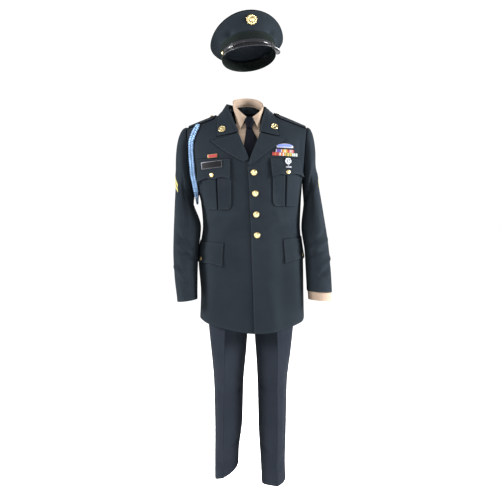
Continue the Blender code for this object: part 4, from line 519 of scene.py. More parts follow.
def wall_faces(rows, columns, wrap, count):
    """Two layers of a grid, count points apart, joined by rims along the open edges."""
    top = quads(rows, columns, wrap)
    i = np.arange(rows if wrap else rows - 1)
    a, b = i * columns, ((i + 1) % rows if wrap else i + 1) * columns
    last = columns - 1
    rims = [stack(b, a, a + count, b + count),
            stack(a + last, b + last, b + last + count, a + last + count)]
    if not wrap:
        j = np.arange(columns - 1)
        far = (rows - 1) * columns + j
        rims += [stack(j, j + 1, j + 1 + count, j + count),
                 stack(far + 1, far, far + count, far + 1 + count)]
    return np.vstack([top, top[:, ::-1] + count, *rims])


def lengths(points, wrap):
    """Metres along the cloth each way: the mean running length of the grid's lines."""
    ring = np.concatenate([points, points[:1]]) if wrap else points
    u = np.linalg.norm(np.diff(ring, axis=0), axis=-1).mean(axis=1)
    v = np.linalg.norm(np.diff(points, axis=1), axis=-1).mean(axis=0)
    u, v = np.concatenate([[0], np.cumsum(u)]), np.concatenate([[0], np.cumsum(v)])
    return u, v


def shell(name, outer, inner, finish, solid="", wrap=False, dye=None, turned=0.35, shade=0.0):
    """A cloth wall between two grids of points. Its edges are rounded: within a few millimetres of
    an open edge both faces draw together by a share of the wall, and the edge mark rises to 1. It
    falls below 0 in a furrow, by its shade, where the cloth never sees light."""
    rows, columns = outer.shape[:2]
    u, v = lengths(outer, wrap)
    from_edge = np.minimum(v, v[-1] - v)[None, :] * np.ones((rows, 1))
    if not wrap:
        from_edge = np.minimum(from_edge, np.minimum(u, u[-1] - u)[:, None])
    tight = np.clip(1 - from_edge / 0.0022, 0, 1) ** 2
    middle = (outer - inner) * 0.5
    outer = outer - middle * (turned * tight)[..., None]
    inner = inner + middle * (turned * tight)[..., None]
    points = np.vstack([outer.reshape(-1, 3), inner.reshape(-1, 3)])
    faces = wall_faces(rows, columns, wrap, rows * columns)
    flat = stack(u[:, None], v[None, :]).reshape(-1, 2)
    span = rows + 1 if wrap else rows
    plain = wall_faces(span, columns, False, span * columns)
    if wrap:
        plain = plain[:len(faces)]
    uv = np.vstack([flat, flat])[plain]
    corners = points[faces]
    a, b, c, d = np.moveaxis(corners - points.mean(axis=0), 1, 0)
    size = (np.einsum("ij,ij->i", a, np.cross(b, c)) + np.einsum("ij,ij->i", a, np.cross(c, d))).sum()
    if size < 0:
        faces, uv = faces[:, ::-1], uv[:, ::-1]
    # The edge mark: 1 at an open edge, where woven cloth is lightened (wear and a painted highlight) and a
    # turned edge gets painted shade; shade takes it below 0 for painted shade in a furrow.
    marks = (np.exp(-from_edge / 0.004) - 3.0 * shade).ravel()
    if dye is not None:
        dye = np.vstack([dye.reshape(-1, 3)] * 2)
    make(name, points, [faces], finish, solid, uv, np.concatenate([marks, marks]), dye)


def stitches(name, lines, finish):
    """A row of thread along each line of (points, normals): a long thin eight-sided bead every 3.4 mm,
    half sunk in the cloth. Each bead is a middle, two ends along the line and four points round it."""
    spots, ways, ups = [], [], []
    for points, normals in lines:
        way = run_along(points)
        at = np.arange(THREAD_STEP / 2, way[-1], THREAD_STEP)

        def read(rows, shift=0.0):
            """Points along the line, straight between its own."""
            return np.stack([np.interp(at + shift, way, rows[:, k]) for k in range(3)], axis=-1)

        spots.append(read(points))
        ways.append(read(points, 0.0005) - read(points, -0.0005))
        ups.append(read(normals))
    spot, way, up = np.vstack(spots), np.vstack(ways), np.vstack(ups)
    way, up = unit(way), unit(up)
    beside = np.cross(way, up)
    shape = np.array([(1.25, 0, -0.12), (-1.25, 0, -0.12), (0.25, 0.26, 0), (0, 0, 0.30), (0, -0.26, 0),
                      (0, 0, -0.2)]) * 0.001
    points = (spot[:, None] + way[:, None] * shape[None, :, :1] + beside[:, None] * shape[None, :, 1:2]
              + up[:, None] * shape[None, :, 2:])
    ring = np.array([2, 3, 4, 5])
    bead = np.array([(0, ring[k], ring[(k + 1) % 4]) for k in range(4)]
                    + [(1, ring[(k + 1) % 4], ring[k]) for k in range(4)])
    faces = (bead[None] + 6 * np.arange(len(spot))[:, None, None]).reshape(-1, 3)
    make(name, points.reshape(-1, 3), [faces], finish, None)


def inset_line(outer, normal, distance, edge):
    """The line on a grid that runs a given distance inside one of its edges, with its normals."""
    if edge in ("first row", "last row"):
        outer, normal = outer.swapaxes(0, 1), normal.swapaxes(0, 1)
    if edge in ("last row", "last column"):
        outer, normal = outer[:, ::-1], normal[:, ::-1]
    way = np.linalg.norm(np.diff(outer, axis=1), axis=-1).cumsum(axis=1)
    way = np.concatenate([np.zeros((len(outer), 1)), way], axis=1)
    low = np.minimum((way < distance).sum(axis=1) - 1, outer.shape[1] - 2)[:, None]
    before = np.take_along_axis(way, low, 1)
    part = (distance - before) / (np.take_along_axis(way, low + 1, 1) - before)
    line = []
    for grid in (outer, normal):
        a = np.take_along_axis(grid, low[..., None], 1)[:, 0]
        b = np.take_along_axis(grid, low[..., None] + 1, 1)[:, 0]
        line.append(a * (1 - part) + b * part)
    return tuple(line)


def node(tree, kind, values=(), **settings):
    """A shader node with its settings, and its inputs set or linked."""
    made = tree.nodes.new(kind)
    for key, value in settings.items():
        setattr(made, key, value)
    for key, value in dict(values).items():
        if isinstance(value, bpy.types.NodeSocket):
            tree.links.new(value, made.inputs[key])
        else:
            made.inputs[key].default_value = value
    return made


def blank(name, roughness, **values):
    """A new material, its tree, the object's coordinates and the edge mark, with the values that are
    the same all over set on its shader."""
    made = bpy.data.materials.new(name)
    made.use_nodes = True
    tree = made.node_tree
    for key, value in {"Roughness": roughness, **values}.items():
        tree.nodes["Principled BSDF"].inputs[key.replace("_", " ")].default_value = value
    place = node(tree, "ShaderNodeTexCoord").outputs["Object"]
    return made, tree, place, mark(tree, "edge")


def mark(tree, name, output="Fac"):
    """A value that the mesh carries at each point."""
    return node(tree, "ShaderNodeAttribute", attribute_name=name).outputs[output]


def noise(tree, vector, scale, detail):
    """Soft noise over some coordinates."""
    values = {"Vector": vector, "Scale": scale, "Detail": detail}
    return node(tree, "ShaderNodeTexNoise", values).outputs["Fac"]


def waves(tree, direction, scale, **more):
    """Sine bands over the cloth's own lengths."""
    uv = node(tree, "ShaderNodeUVMap", uv_map="cloth").outputs["UV"]
    values = {"Vector": uv, "Scale": scale, **{key.replace("_", " "): value for key, value in more.items()}}
    made = node(tree, "ShaderNodeTexWave", values, wave_type="BANDS", bands_direction=direction)
    return made.outputs["Fac"]


def dress(tree, colour, rough, strength, distance, height):
    """Links a shader's colour, its roughness where that varies, and its bump."""
    bump = node(tree, "ShaderNodeBump", {"Strength": strength, "Distance": distance, "Height": height})
    for key, socket in (("Base Color", colour), ("Roughness", rough), ("Normal", bump.outputs["Normal"])):
        if socket is not None:
            tree.links.new(socket, tree.nodes["Principled BSDF"].inputs[key])


def ramp(tree, factor, stops):
    """Colours by a factor: stops are (position, colour)."""
    made = node(tree, "ShaderNodeValToRGB", {"Fac": factor})
    bar = made.color_ramp.elements
    bar[0].position, bar[1].position = stops[0][0], stops[-1][0]
    bar[0].color, bar[1].color = (*stops[0][1], 1), (*stops[-1][1], 1)
    for position, colour in stops[1:-1]:
        bar.new(position).color = (*colour, 1)
    return made.outputs["Color"]


def total(tree, parts, start=0.0):
    """A sum of sockets, each times its share, and a number."""
    so_far = start
    for socket, share in parts:
        so_far = node(tree, "ShaderNodeMath", {0: socket, 1: share, 2: so_far},
                      operation="MULTIPLY_ADD").outputs[0]
    return so_far


# A wave texture's scale times its bands' pitch in metres, along one axis or across two
ONE_WAY, TWO_WAYS = 0.314, 0.628


def woven(name, stops, pitch, depth, rough, slant=True, wear_and_highlight=0.20, rim=0.0, dyed=False, **values):
    """Woven cloth. Ribs run at a slant (twill) or straight (poplin) over the cloth's own lengths and
    finer threads cross them. Height = 0.6 rib + 0.25 cross thread + 0.15 fibre. The colour drifts
    between near shades with slow clouds and single fibres. Along the edges it is lighter, partly for
    wear and partly as a painted highlight, and darker by the rim's share where an edge turns under,
    which is painted shade."""
    made, tree, place, edge = blank(name, rough, **values)
    uv = node(tree, "ShaderNodeUVMap", uv_map="cloth").outputs["UV"]
    direction, one = ("DIAGONAL", TWO_WAYS) if slant else ("X", ONE_WAY)
    rib = waves(tree, direction, one / pitch, Distortion=0.5, Detail_Scale=2.0)
    cross = waves(tree, "Y", ONE_WAY / (pitch * 0.7))
    fibre = noise(tree, uv, 1500.0, 2.0)
    cloud = noise(tree, place, 9.0, 3.0)
    # Painted shade: turn is 1 on the last millimetre or so of an edge, and rim darkens the cloth there as
    # if the turned edge lay in shade.
    turn = node(tree, "ShaderNodeMapRange", {"Value": edge, "From Min": 0.62, "From Max": 0.85})
    # The edge mark lightens the cloth along the edges, partly for wear and partly as a painted highlight; a
    # mark below 0 is painted shade.
    factor = total(tree, ((rib, 0.16), (cross, 0.08), (fibre, 0.36), (cloud, 0.40), (edge, wear_and_highlight),
                          (turn.outputs["Result"], -rim)))
    colour = ramp(tree, factor, stops)
    if dyed:
        colour = node(tree, "ShaderNodeMixRGB", {"Fac": 1.0, "Color1": mark(tree, "dye", "Color"),
                                                 "Color2": colour}, blend_type="MULTIPLY").outputs["Color"]
    dress(tree, colour, total(tree, ((fibre, 0.10), (edge, -0.10)), rough - 0.05), 0.5, depth,
          total(tree, ((rib, 0.60), (cross, 0.25), (fibre, 0.15))))
    return made


def metal(name, bright, dull, rough):
    """Polished metal with dull colour in its low places (the edge mark), fine scratches and wear."""
    made, tree, place, low = blank(name, rough, Metallic=1.0)
    spots = noise(tree, place, 260.0, 3.0)
    colour = ramp(tree, total(tree, ((low, 0.85), (spots, 0.20))), ((0.05, bright), (0.95, dull)))
    dress(tree, colour, total(tree, ((spots, 0.22), (low, 0.25)), rough - 0.10), 0.12, 0.0001,
          noise(tree, place, 2400.0, 2.0))
    return made


def lacquer(name, dark, worn, rough, coat, shine):
    """Patent leather or enamel: a clear coat over a dark base, with a slight orange peel and scuffs
    that show along the edges."""
    made, tree, place, edge = blank(name, rough, Coat_Weight=coat, Coat_Roughness=0.06,
                                    Specular_IOR_Level=shine)
    scuff = noise(tree, place, 900.0, 5.0)
    colour = ramp(tree, total(tree, ((edge, 0.45), (scuff, 0.35))), ((0.30, dark), (0.90, worn)))
    rough = total(tree, ((scuff, 0.20),), rough - 0.10)
    dress(tree, colour, rough, 0.10, 0.0003, noise(tree, place, 220.0, 2.0))
    return made


def plied(name, dark, light, pitch):
    """Thick twisted yarn: plies run round the strand at a slant, height = sine of (along + around).
    It is mottled by soft blots a centimetre across, and the mark that the piece carries paints shade into
    its gaps."""
    made, tree, place, deep = blank(name, 0.60, Specular_IOR_Level=0.2)
    ply = waves(tree, "DIAGONAL", TWO_WAYS / pitch, Distortion=0.4)
    factor = total(tree, ((ply, 0.55), (noise(tree, place, 1600.0, 2.0), 0.30)))
    # Painted shade: deep, the mark that is 1 where a strand lies low in the plait, darkens the gaps.
    shade = total(tree, ((factor, 1.0), (deep, -0.85), (noise(tree, place, 120.0, 1.0), 1.10)))
    dress(tree, ramp(tree, shade, ((0.30, dark), (1.0, light))), None, 0.7, 0.0005, factor)
    return made


DULL = {"Specular_IOR_Level": 0.02}
SATIN = {"Specular_IOR_Level": 0.2}
# Painted shade: in these serges the near-black stop at 0 is reached mostly where rim darkens a turned edge
# or a piece's shade marks a furrow.
SERGE = woven("grey green serge", ((0.00, (0.0008, 0.0011, 0.0020)), (0.25, (0.0050, 0.0067, 0.0092)),
                                   (0.55, (0.0080, 0.0105, 0.0132)), (0.95, (0.0150, 0.0190, 0.0222))),
              0.0011, 0.00035, 0.95, rim=0.75, **DULL)
TROUSER = woven("trouser serge", ((0.00, (0.0008, 0.0010, 0.0020)), (0.25, (0.0052, 0.0065, 0.0094)),
                                  (0.55, (0.0082, 0.0101, 0.0138)), (0.95, (0.0150, 0.0186, 0.0228))),
                0.0011, 0.00035, 0.95, rim=0.75, **DULL)
BRAIDED_BAND = woven("green black band braid", ((0.00, (0.0006, 0.0009, 0.0008)),
                                                (0.25, (0.0030, 0.0042, 0.0040)),
                                                (0.95, (0.0085, 0.0112, 0.0104))),
                     0.0024, 0.0006, 0.95, slant=False, **DULL)
POPLIN = woven("tan poplin", ((0.25, (0.120, 0.088, 0.066)), (0.55, (0.160, 0.118, 0.088)),
                              (0.95, (0.210, 0.158, 0.120))), 0.0006, 0.00012, 0.78, slant=False, **SATIN)
TIE = woven("black tie twill", ((0.25, (0.0008, 0.0010, 0.0018)), (0.95, (0.0042, 0.0048, 0.0080))),
            0.0012, 0.0003, 0.80, Specular_IOR_Level=0.03)
RIBBON = woven("ribbed ribbon", ((0.25, (0.16, 0.16, 0.16)), (0.95, (0.30, 0.30, 0.30))), 0.0009, 0.0003,
               0.62, slant=False, dyed=True, **SATIN)
EMBROIDERY = woven("satin stitch", ((0.25, (0.20, 0.20, 0.20)), (0.95, (0.46, 0.46, 0.46))),
                   0.0010, 0.0006, 0.60, dyed=True, **SATIN)
GOLD = metal("gold plate", (0.58, 0.46, 0.23), (0.020, 0.011, 0.003), 0.24)
SILVER = metal("silver plate", (0.30, 0.31, 0.34), (0.010, 0.011, 0.013), 0.30)
PATENT = lacquer("patent leather", (0.006, 0.006, 0.008), (0.016, 0.016, 0.018), 0.30, 0.30, 0.10)
BLACK = lacquer("black enamel", (0.003, 0.003, 0.004), (0.010, 0.010, 0.012), 0.50, 0.02, 0.06)
BLUE = lacquer("blue enamel", (0.060, 0.080, 0.260), (0.130, 0.155, 0.340), 0.35, 0.15, 0.15)
CORD = plied("blue braid", (0.002, 0.007, 0.022), (0.250, 0.400, 0.640), 0.0016)
THREAD = plied("sewing thread", (0.006, 0.008, 0.011), (0.018, 0.024, 0.028), 0.0006)
TAN_THREAD = plied("tan thread", (0.18, 0.11, 0.06), (0.32, 0.22, 0.13), 0.0006)
SLOTS = {"serge": (SERGE, TROUSER, BRAIDED_BAND, THREAD), "shirt": (POPLIN, TAN_THREAD), "tie": (TIE,),
         "ribbon": (RIBBON,), "braid": (EMBROIDERY,), "gold": (GOLD,), "silver": (SILVER,),
         "patent": (PATENT,), "enamel": (BLACK, BLUE), "cord": (CORD,)}
SLOT_OF = {finish.name: slot for slot, finishes in SLOTS.items() for finish in finishes}

stitch_lines = []


def roll_place(side, run):
    """Where each front is cut along its roll line. The right one keeps clear of the left one."""
    place = level_of(ROLL_LINE[side], run)[..., 0] + side * 0.0021
    if side == RIGHT:
        cover = level_of(ROLL_LINE[LEFT], run)[..., 0] - 0.0055
        place = np.where(run <= LAPEL_FOOT[RIGHT] + 0.0005, np.minimum(place, cover), place)
    return place


def coat_fronts():
    """Each front runs from its hem to the shoulder seam, cut away along the roll line above the break.
    Its turned edge is a little thicker: rise + 0.4 mm * exp(-(distance / 7 mm)^2)."""
    for side, label in SIDES:
        hem = COAT_HEM - np.array([0, 0.0007, 0.0018, 0.0035])
        low = np.linspace(COAT_HEM - 0.008, BREAK_RUN[side] + 0.004, 104)
        high = np.linspace(BREAK_RUN[side] - 0.002, SEAM_GAP / 2, 52)
        run = -np.concatenate([hem, low, high])
        middle = level_of(COAT_ROWS, run)[..., 0]
        lap = middle - LAP_OVER if side == LEFT else middle + LAP_UNDER
        edge_x = np.where(-run > BREAK_RUN[side], lap, roll_place(side, -run))
        start = across_at(side, run, edge_x)
        share = steps(70)
        end = 1 - SEAM_GAP / 2 / QUARTER
        across = start[:, None] + (end - start[:, None]) * share[None, :]
        runs = np.repeat(run[:, None], len(share), axis=1)
        lifted = lap_lift(side, torso(side, across, runs)[..., 0], runs)
        from_edge = (across - start[:, None]) * QUARTER
        from_hem = COAT_HEM + runs
        thicker = 0.0004 * (bell(from_edge, 0.007) + bell(from_hem, 0.030, 4))
        outer = on_torso(side, across, runs, lifted + thicker)
        inner = on_torso(side, across, runs, lifted - COAT_WALL)
        shell(f"coat_front_{label}_cloth", outer, inner, SERGE)
        if side == LEFT:
            normal = torso_normal(side, across, runs)
            sew(outer[4:106], normal[4:106], 0.0065, "first column")


def coat_backs():
    """Each back half runs from the neck and shoulder seam to the hem, with a centre seam."""
    for side, label in SIDES:
        across = SEAM_GAP / QUARTER + (1 - SEAM_GAP * 1.5 / QUARTER) * steps(64)
        whole = across_at(side, 0.0, NECK_CENTRE + side * BACK_NECK_HALF)
        top = SEAM_GAP / 2 + BACK_NECK_DROP * (1 - np.clip(across / whole, 0, 1) ** 2)
        runs = top[None, :] + (COAT_HEM - top[None, :]) * steps(124, 0.004)[:, None]
        grid = np.repeat(across[None, :], len(runs), axis=0)
        outer = on_torso(side, grid, runs, 0.0004 * bell(COAT_HEM - runs, 0.030, 4))
        inner = on_torso(side, grid, runs, -COAT_WALL)
        shell(f"coat_back_{label}_cloth", outer, inner, SERGE)


def armhole(side, share):
    """The edge of the armhole: from the shoulder seam (0) down the front to the armpit (0.5) and up
    the back (1), just outside the fronts and backs."""
    down = np.where(share <= 0.5, -share, 1 - share) * 2 * ARMPIT
    edge = torso(side, 1.0, down)
    edge[..., 0] += side * 0.0012
    return edge


def sleeve_ring(side, share, along):
    """An oval below the sleeve's head, tilted so that its outer side is higher."""
    z, tilt, outer_x, inner_x, y, half_depth = columns_of(SLEEVE_LEVELS[side], along)
    turn = share * 2 * np.pi
    return stack((outer_x + inner_x) / 2 + (outer_x - inner_x) / 2 * np.cos(turn),
                 y - half_depth * np.sin(turn), z + tilt * np.cos(turn))


def sleeve(side, share, along):
    """The sleeve's surface. Its head is a cubic from the armhole to the first ring, whose slope turns
    from outwards to down."""
    share, along = np.broadcast_arrays(np.asarray(share, float), np.asarray(along, float))
    share = share % 1.0
    below = sleeve_ring(side, share, np.maximum(along, HEAD_SHARE))
    first = sleeve_ring(side, share, np.full_like(along, HEAD_SHARE))
    turn = share * 2 * np.pi
    out = (1 + np.cos(turn)) / 2
    leave = stack(side * (HEAD_OUT[side] * out + 0.004), -0.030 * np.sin(turn),
                  -UNDERARM_DOWN * (1 - out) + 0.012 * out)
    reach = stack(0 * turn, 0 * turn, -HEAD_DOWN * out - UNDERARM_DOWN * (1 - out))
    t = np.clip(along / HEAD_SHARE, 0, 1)[..., None]
    head = ((1 - t) ** 2 * (1 + 2 * t) * armhole(side, share) + t ** 2 * (3 - 2 * t) * first
            + t * (1 - t) ** 2 * leave - t ** 2 * (1 - t) * reach)
    return np.where((along < HEAD_SHARE)[..., None], head, below)


def on_sleeve(side, share, along, rise):
    """A point above the sleeve, with its creases, its two long seams, and the ease that puckers its
    head: 0.5 mm * sin(2 pi u / 26 mm), dying out in 20 mm."""
    share, along, rise = np.broadcast_arrays(share, along, np.asarray(rise, float))
    step = 0.003
    round_way = sleeve(side, share + step, along) - sleeve(side, share - step, along)
    down = sleeve(side, share, along + step) - sleeve(side, share, np.maximum(along - step, 0))
    normal = unit(side * np.cross(round_way, down))
    u, v = (share % 1.0) * SLEEVE_ROUND, along * SLEEVE_LONG
    folds = sum(soft_lines(SLEEVE_FOLDS[side], u + k * SLEEVE_ROUND, v) for k in (-1, 0, 1))
    folds *= SLEEVE_DEPTH * (1 - bell((share % 1.0) - 0.5, 0.10)) * ease(v / 0.05) * ease((0.63 - v) / 0.05)
    seams = sum(-0.0007 * bell(u - at, 0.0016) for at in (0.145, 0.300)) * ease(v / 0.02)
    pucker = 0.0005 * np.sin(2 * np.pi * u / 0.026) * np.exp(-v / 0.020) * ease(v / 0.006)
    return sleeve(side, share, along) + normal * (rise + folds + seams + pucker)[..., None], normal


def sleeves():
    """Both sleeves, as open tubes from the armhole to the cuff."""
    share = np.arange(106) / 106
    along = steps(120, 0.006)
    for side, label in SIDES:
        cuff = 0.0004 * bell((1 - along) * SLEEVE_LONG, 0.028, 4)[None, :]
        outer, _ = on_sleeve(side, share[:, None], along[None, :], cuff)
        inner, _ = on_sleeve(side, share[:, None], along[None, :], -COAT_WALL)
        shell(f"coat_sleeve_{label}_cloth", outer, inner, SERGE, wrap=True)


def columns_between(key, columns, at):
    """A grid of values between a few columns of them: level_of along each row."""
    columns = np.array(columns)
    table = np.column_stack([key, columns.reshape(len(key), -1)])
    return level_of(table, at).reshape(len(at), *columns.shape[1:])


def lapels():
    """Each lapel lies on its front from the roll line out to its edge. Its roll is a soft round over
    the front's cut edge, and it swells a little between the roll and the stitched edge."""
    for side, label in SIDES:
        up = steps(64, 0.012)
        edge = level_of(LAPEL_EDGE[side], up)
        roll_run = LAPEL_FOOT[side] + (GORGE_RUN - LAPEL_FOOT[side]) * up
        roll_x = roll_place(side, roll_run)
        roll_run = roll_run - 0.0015 * (1 - up) ** 8
        columns = [(roll_run, roll_x + side * offset, rise + 0 * up)
                   for offset, rise in ((-0.0026, -0.0008), (-0.0016, 0.0024), (0.0010, 0.0040))]
        for share in (0.08, 0.26, 0.50, 0.76, 1.0):
            run = roll_run + (edge[:, 0] - roll_run) * share
            x = roll_x + (edge[:, 1] - roll_x) * share + side * 0.0045 * (1 - share) * (1 - up)
            belly = (0.0014 * np.sin(np.pi * share) + 0.0024 * share ** 6) * np.sin(np.pi * up) ** 0.7
            columns.append((run, x, LIFT + COAT_WALL + 0.0014 * (1 - share) ** 2 + belly))
        grid = columns_between((0, 0.03, 0.06, 0.12, 0.28, 0.50, 0.76, 1.0), columns, steps(44, 0.010))
        run, x = -grid[:, 0].T, grid[:, 1].T
        rise = grid[:, 2].T + lap_lift(side, x, run)
        across = across_at(side, run, x)
        outer = on_torso(side, across, run, rise)
        normal = grid_normal(outer, torso_normal(side, across, run))
        shell(f"lapel_{label}_cloth", outer, outer - normal * COAT_WALL, SERGE)
        sew(outer, normal, 0.0060, "last column")
        sew(outer[:, 20:], normal[:, 20:], 0.0060, "last row")


def collar_halves(side, stations):
    """The collar's crease and edge at each station, as x and run, with the crease's rise."""
    row = columns_of(COLLAR_STATIONS[side], stations)
    return NECK_CENTRE + side * row[0], row[1], row[2], NECK_CENTRE + side * row[3], row[4]


def collar():
    """The fall turns over at its crease and lies round the neck on the coat, from gorge to gorge. The
    stand rises inside it from the neck seam."""
    halves, stands = [], []
    for side, _ in SIDES:
        station = np.concatenate([[0, 0.004, 0.009], np.linspace(0.016, 1.0, 66)])
        crease_x, crease_run, crease_rise, edge_x, edge_run = collar_halves(side, station)
        behind = station ** 3
        columns = [(crease_x + side * offset * (1 - behind), crease_run + offset * behind,
                    crease_rise + rise)
                   for offset, rise in ((-0.0040, -0.0040), (-0.0030, -0.0008), (0.0, 0.0006),
                                        (0.0040, -0.0016))]
        for share in (0.30, 0.62, 1.0):
            low = LIFT + COAT_WALL
            past = side * 0.004 * (1 - behind) * (1 - share)
            columns.append((crease_x + past + (edge_x - crease_x) * share,
                            crease_run + 0.004 * behind * (1 - share) + (edge_run - crease_run) * share,
                            low + (crease_rise - low) * (1 - share) ** 1.4))
        grid = columns_between((0, 0.04, 0.09, 0.15, 0.38, 0.66, 1.0), columns, steps(44, 0.012))
        x, run, rise = grid[:, 0].T, grid[:, 1].T, grid[:, 2].T
        rise = rise + lap_lift(side, x, np.minimum(run, 0))
        halves.append(on_torso(side, across_at(side, run, x), run, rise))
        place = np.linspace(0.30, 1.0, 40)
        stand_x, stand_run, stand_rise, _, _ = collar_halves(side, place)
        across = across_at(side, stand_run, stand_x - side * 0.0044 * (1 - place ** 3))
        top = on_torso(side, across, stand_run - 0.0044 * place ** 3, stand_rise - 0.0060)
        whole = across_at(side, 0.0, NECK_CENTRE + side * BACK_NECK_HALF)
        cut = SEAM_GAP / 2 + BACK_NECK_DROP * (1 - np.clip(across / whole, 0, 1) ** 2) - 0.0012
        foot = on_torso(side, across, np.where(stand_run > 0, cut, stand_run), 0.0)
        t = steps(8, 0.05)[None, :, None]
        stands.append(foot[:, None] * (1 - t) + top[:, None] * t)
    outer = np.concatenate([halves[0], halves[1][-2::-1]], axis=0)
    normal = grid_normal(outer, np.array([0.0, 0.0, 1.0]))
    shell("coat_collar_cloth", outer, outer - normal * COAT_WALL, SERGE)
    sew(outer, normal, 0.0060, "last column")
    stand = np.concatenate([stands[0], stands[1][-2::-1]], axis=0)
    inward = unit((np.array([NECK_CENTRE, 0.0, 0.0]) - stand) * LEVEL)
    shell("coat_collar_stand_cloth", stand + inward * 0.0014, stand, SERGE)


def laid(name, side, x, z, rise, thick, finish, solid="", dye=None, sewn=(), inset=0.0045, shade=0.0):
    """A piece that lies on the coat's front over a grid of world x and z, with its sewn edges."""
    across, run = locate(side, x, z)
    rise = rise + lap_lift(side, x, run)
    outer = on_torso(side, across, run, rise + thick)
    sew(outer, torso_normal(side, across, run), inset, *sewn)
    shell(name, outer, on_torso(side, across, run, rise), finish, solid, dye=dye, shade=shade)


def sew(points, normals, inset, *edges):
    """Keeps a line for the coat's thread inside each edge that is named."""
    for edge in edges:
        stitch_lines.append(inset_line(points, normals, inset, edge))


def scallop(a):
    """The drop of a flap's lower edge: a point at the middle and one at each corner."""
    a = np.abs(a)
    point = FLAP_POINT * np.clip(1 - a / SCALLOP_AT, 0, 1) ** 1.2
    return point + FLAP_CORNER * np.clip((a - SCALLOP_AT) / (1 - SCALLOP_AT), 0, 1) ** 1.5


def groove(distance, half, depth):
    """A groove with soft shoulders: -depth * exp(-(distance / half)^4)."""
    return -depth * bell(distance, half, 4)


def chest_pockets():
    """Each pocket is a patch with round lower corners and an inverted pleat: two folded edges that
    meet in a groove, each with a slight swell beside it. A sewn furrow follows its edges."""
    for side, label in SIDES:
        outer_top, outer_bottom, inner_x, top, bottom = CHEST_POCKET[side]
        a = np.unique(np.concatenate([2 * steps(44, 0.016) - 1, np.linspace(-0.09, 0.09, 19)]))
        a, b = grid_of(a, steps(52, 0.010))
        outer_x = outer_bottom + (outer_top - outer_bottom) * b
        half = (outer_x - inner_x) / 2
        narrow = 0.30 * np.clip(1 - b / 0.16, 0, 1) ** 3
        x = inner_x + half + a * half * (1 - narrow * np.abs(a) ** 4)
        z = bottom + (top - bottom) * b
        off = a * np.abs(half)
        swell = 0.0008 * bell(np.abs(off) - 0.007, 0.006)
        furrow = groove(np.abs(off) - np.abs(half) + 0.0048, 0.0010, 0.0004)
        furrow += groove((b * (top - bottom)) - 0.0048, 0.0010, 0.0004)
        pleat = 0.0026 + 0.0012 * b
        thick = POCKET_WALL + groove(off, pleat, 0.0022) + swell + furrow
        # The shade here is painted shade: the pleat's groove is painted near black.
        laid(f"chest_pocket_{label}_cloth", side, x, z, POCKET_RISE, thick, SERGE, sewn=POCKET_EDGES,
             shade=-groove(off, pleat * 0.8, 1.0))
        middle, wide, top, bottom, skew, slant = CHEST_FLAP[side]
        a, b = grid_of(2 * steps(66, 0.010) - 1, steps(30, 0.016))
        x = middle + a * wide / 2 + side * slant * (1 - b)
        foot = bottom - scallop(a) + skew * a
        z = foot + (top - foot) * b
        rise = LIFT + (FLAP_RISE - LIFT) * ease((top - z) / FLAP_STEP)
        lift = 0.0024 * bell(z - foot, 0.014) * (1 - bell(a, 0.35))
        laid(f"chest_flap_{label}_cloth", side, x, z, rise + lift, FLAP_WALL, SERGE,
             sewn=POCKET_EDGES, inset=0.0055)


def wrap_point(side, way, level, rise):
    """A point above the coat below the armhole. way goes from the middle of the front (0) over the
    side seam (1) to the middle of the back (2)."""
    way, level, rise = np.broadcast_arrays(way, level, rise)
    front = on_torso(side, np.minimum(way, 1.0), -level, rise)
    back = on_torso(side, np.minimum(2 - way, 1.0), level, rise)
    return np.where((way <= 1.0)[..., None], front, back)


def skirt_flaps():
    """The lower pockets show as scalloped flaps that run round the side of the coat."""
    for side, label in SIDES:
        start, end, top, bottom, skew = SKIRT_FLAP[side]
        a, b = grid_of(2 * steps(72, 0.008) - 1, steps(28, 0.016))
        way = start + (end - start) * (a + 1) / 2
        foot = bottom + scallop(a) - skew * a
        level = foot + (top - skew * a - foot) * b
        rise = SKIRT_FLAP_RISE + 0.0024 * bell(b, 0.25) * (1 - bell(a, 0.35))
        outer = wrap_point(side, way, level, rise + FLAP_WALL)
        normal = grid_normal(outer, outer * np.array([0.0, 1.0, 0.0]))
        shell(f"skirt_flap_{label}_cloth", outer, wrap_point(side, way, level, rise), SERGE)
        sew(outer, normal, 0.0055, *POCKET_EDGES)


def epaulets():
    """A strap on each shoulder, from the sleeve seam to a point near the collar, stitched along both its
    long sides.
    """
    for side, label in SIDES:
        outer_x, inner_x, _ = EPAULET[side]
        along = steps(60, 0.010)
        half = EPAULET_HALF * np.interp(along, (0.0, 0.80, 0.93, 0.99, 1.0), (1.0, 0.80, 0.62, 0.16, 0.10))
        run = half[:, None] * (2 * steps(28, 0.03) - 1)[None, :]
        x = np.repeat((outer_x + (inner_x - outer_x) * along)[:, None], run.shape[1], axis=1)
        across = across_at(side, run, x)
        swell = 0.0006 * (1 - (run / half[:, None]) ** 2)
        outer = on_torso(side, across, run, EPAULET_TOP + swell)
        normal = torso_normal(side, across, run)
        shell(f"epaulet_{label}_cloth", outer, on_torso(side, across, run, 0.0010), SERGE)
        sew(outer[:57], normal[:57], 0.0048, "first column", "last column")


def frame_of(normal):
    """Two directions across a normal: one level, one up the face."""
    normal = unit(np.asarray(normal, float))
    helper = np.array([0.0, 0.0, 1.0]) if abs(normal[2]) < 0.9 else np.array([0.0, 1.0, 0.0])
    level = unit(np.cross(helper, normal))
    return normal, level, np.cross(normal, level)


def star(r, turn, outer, inner):
    """A faceted five-pointed star, upright: 1 in the middle, 0 at its outline, whose edge is the line
    between a point and the next notch in polar form."""
    part = np.pi / 5
    off = (turn - np.pi / 2) % (2 * part)
    off = np.minimum(off, 2 * part - off)
    outline = outer * inner * np.sin(part) / (inner * np.sin(part - off) + outer * np.sin(off))
    return np.clip(1 - r / outline, 0, 1)


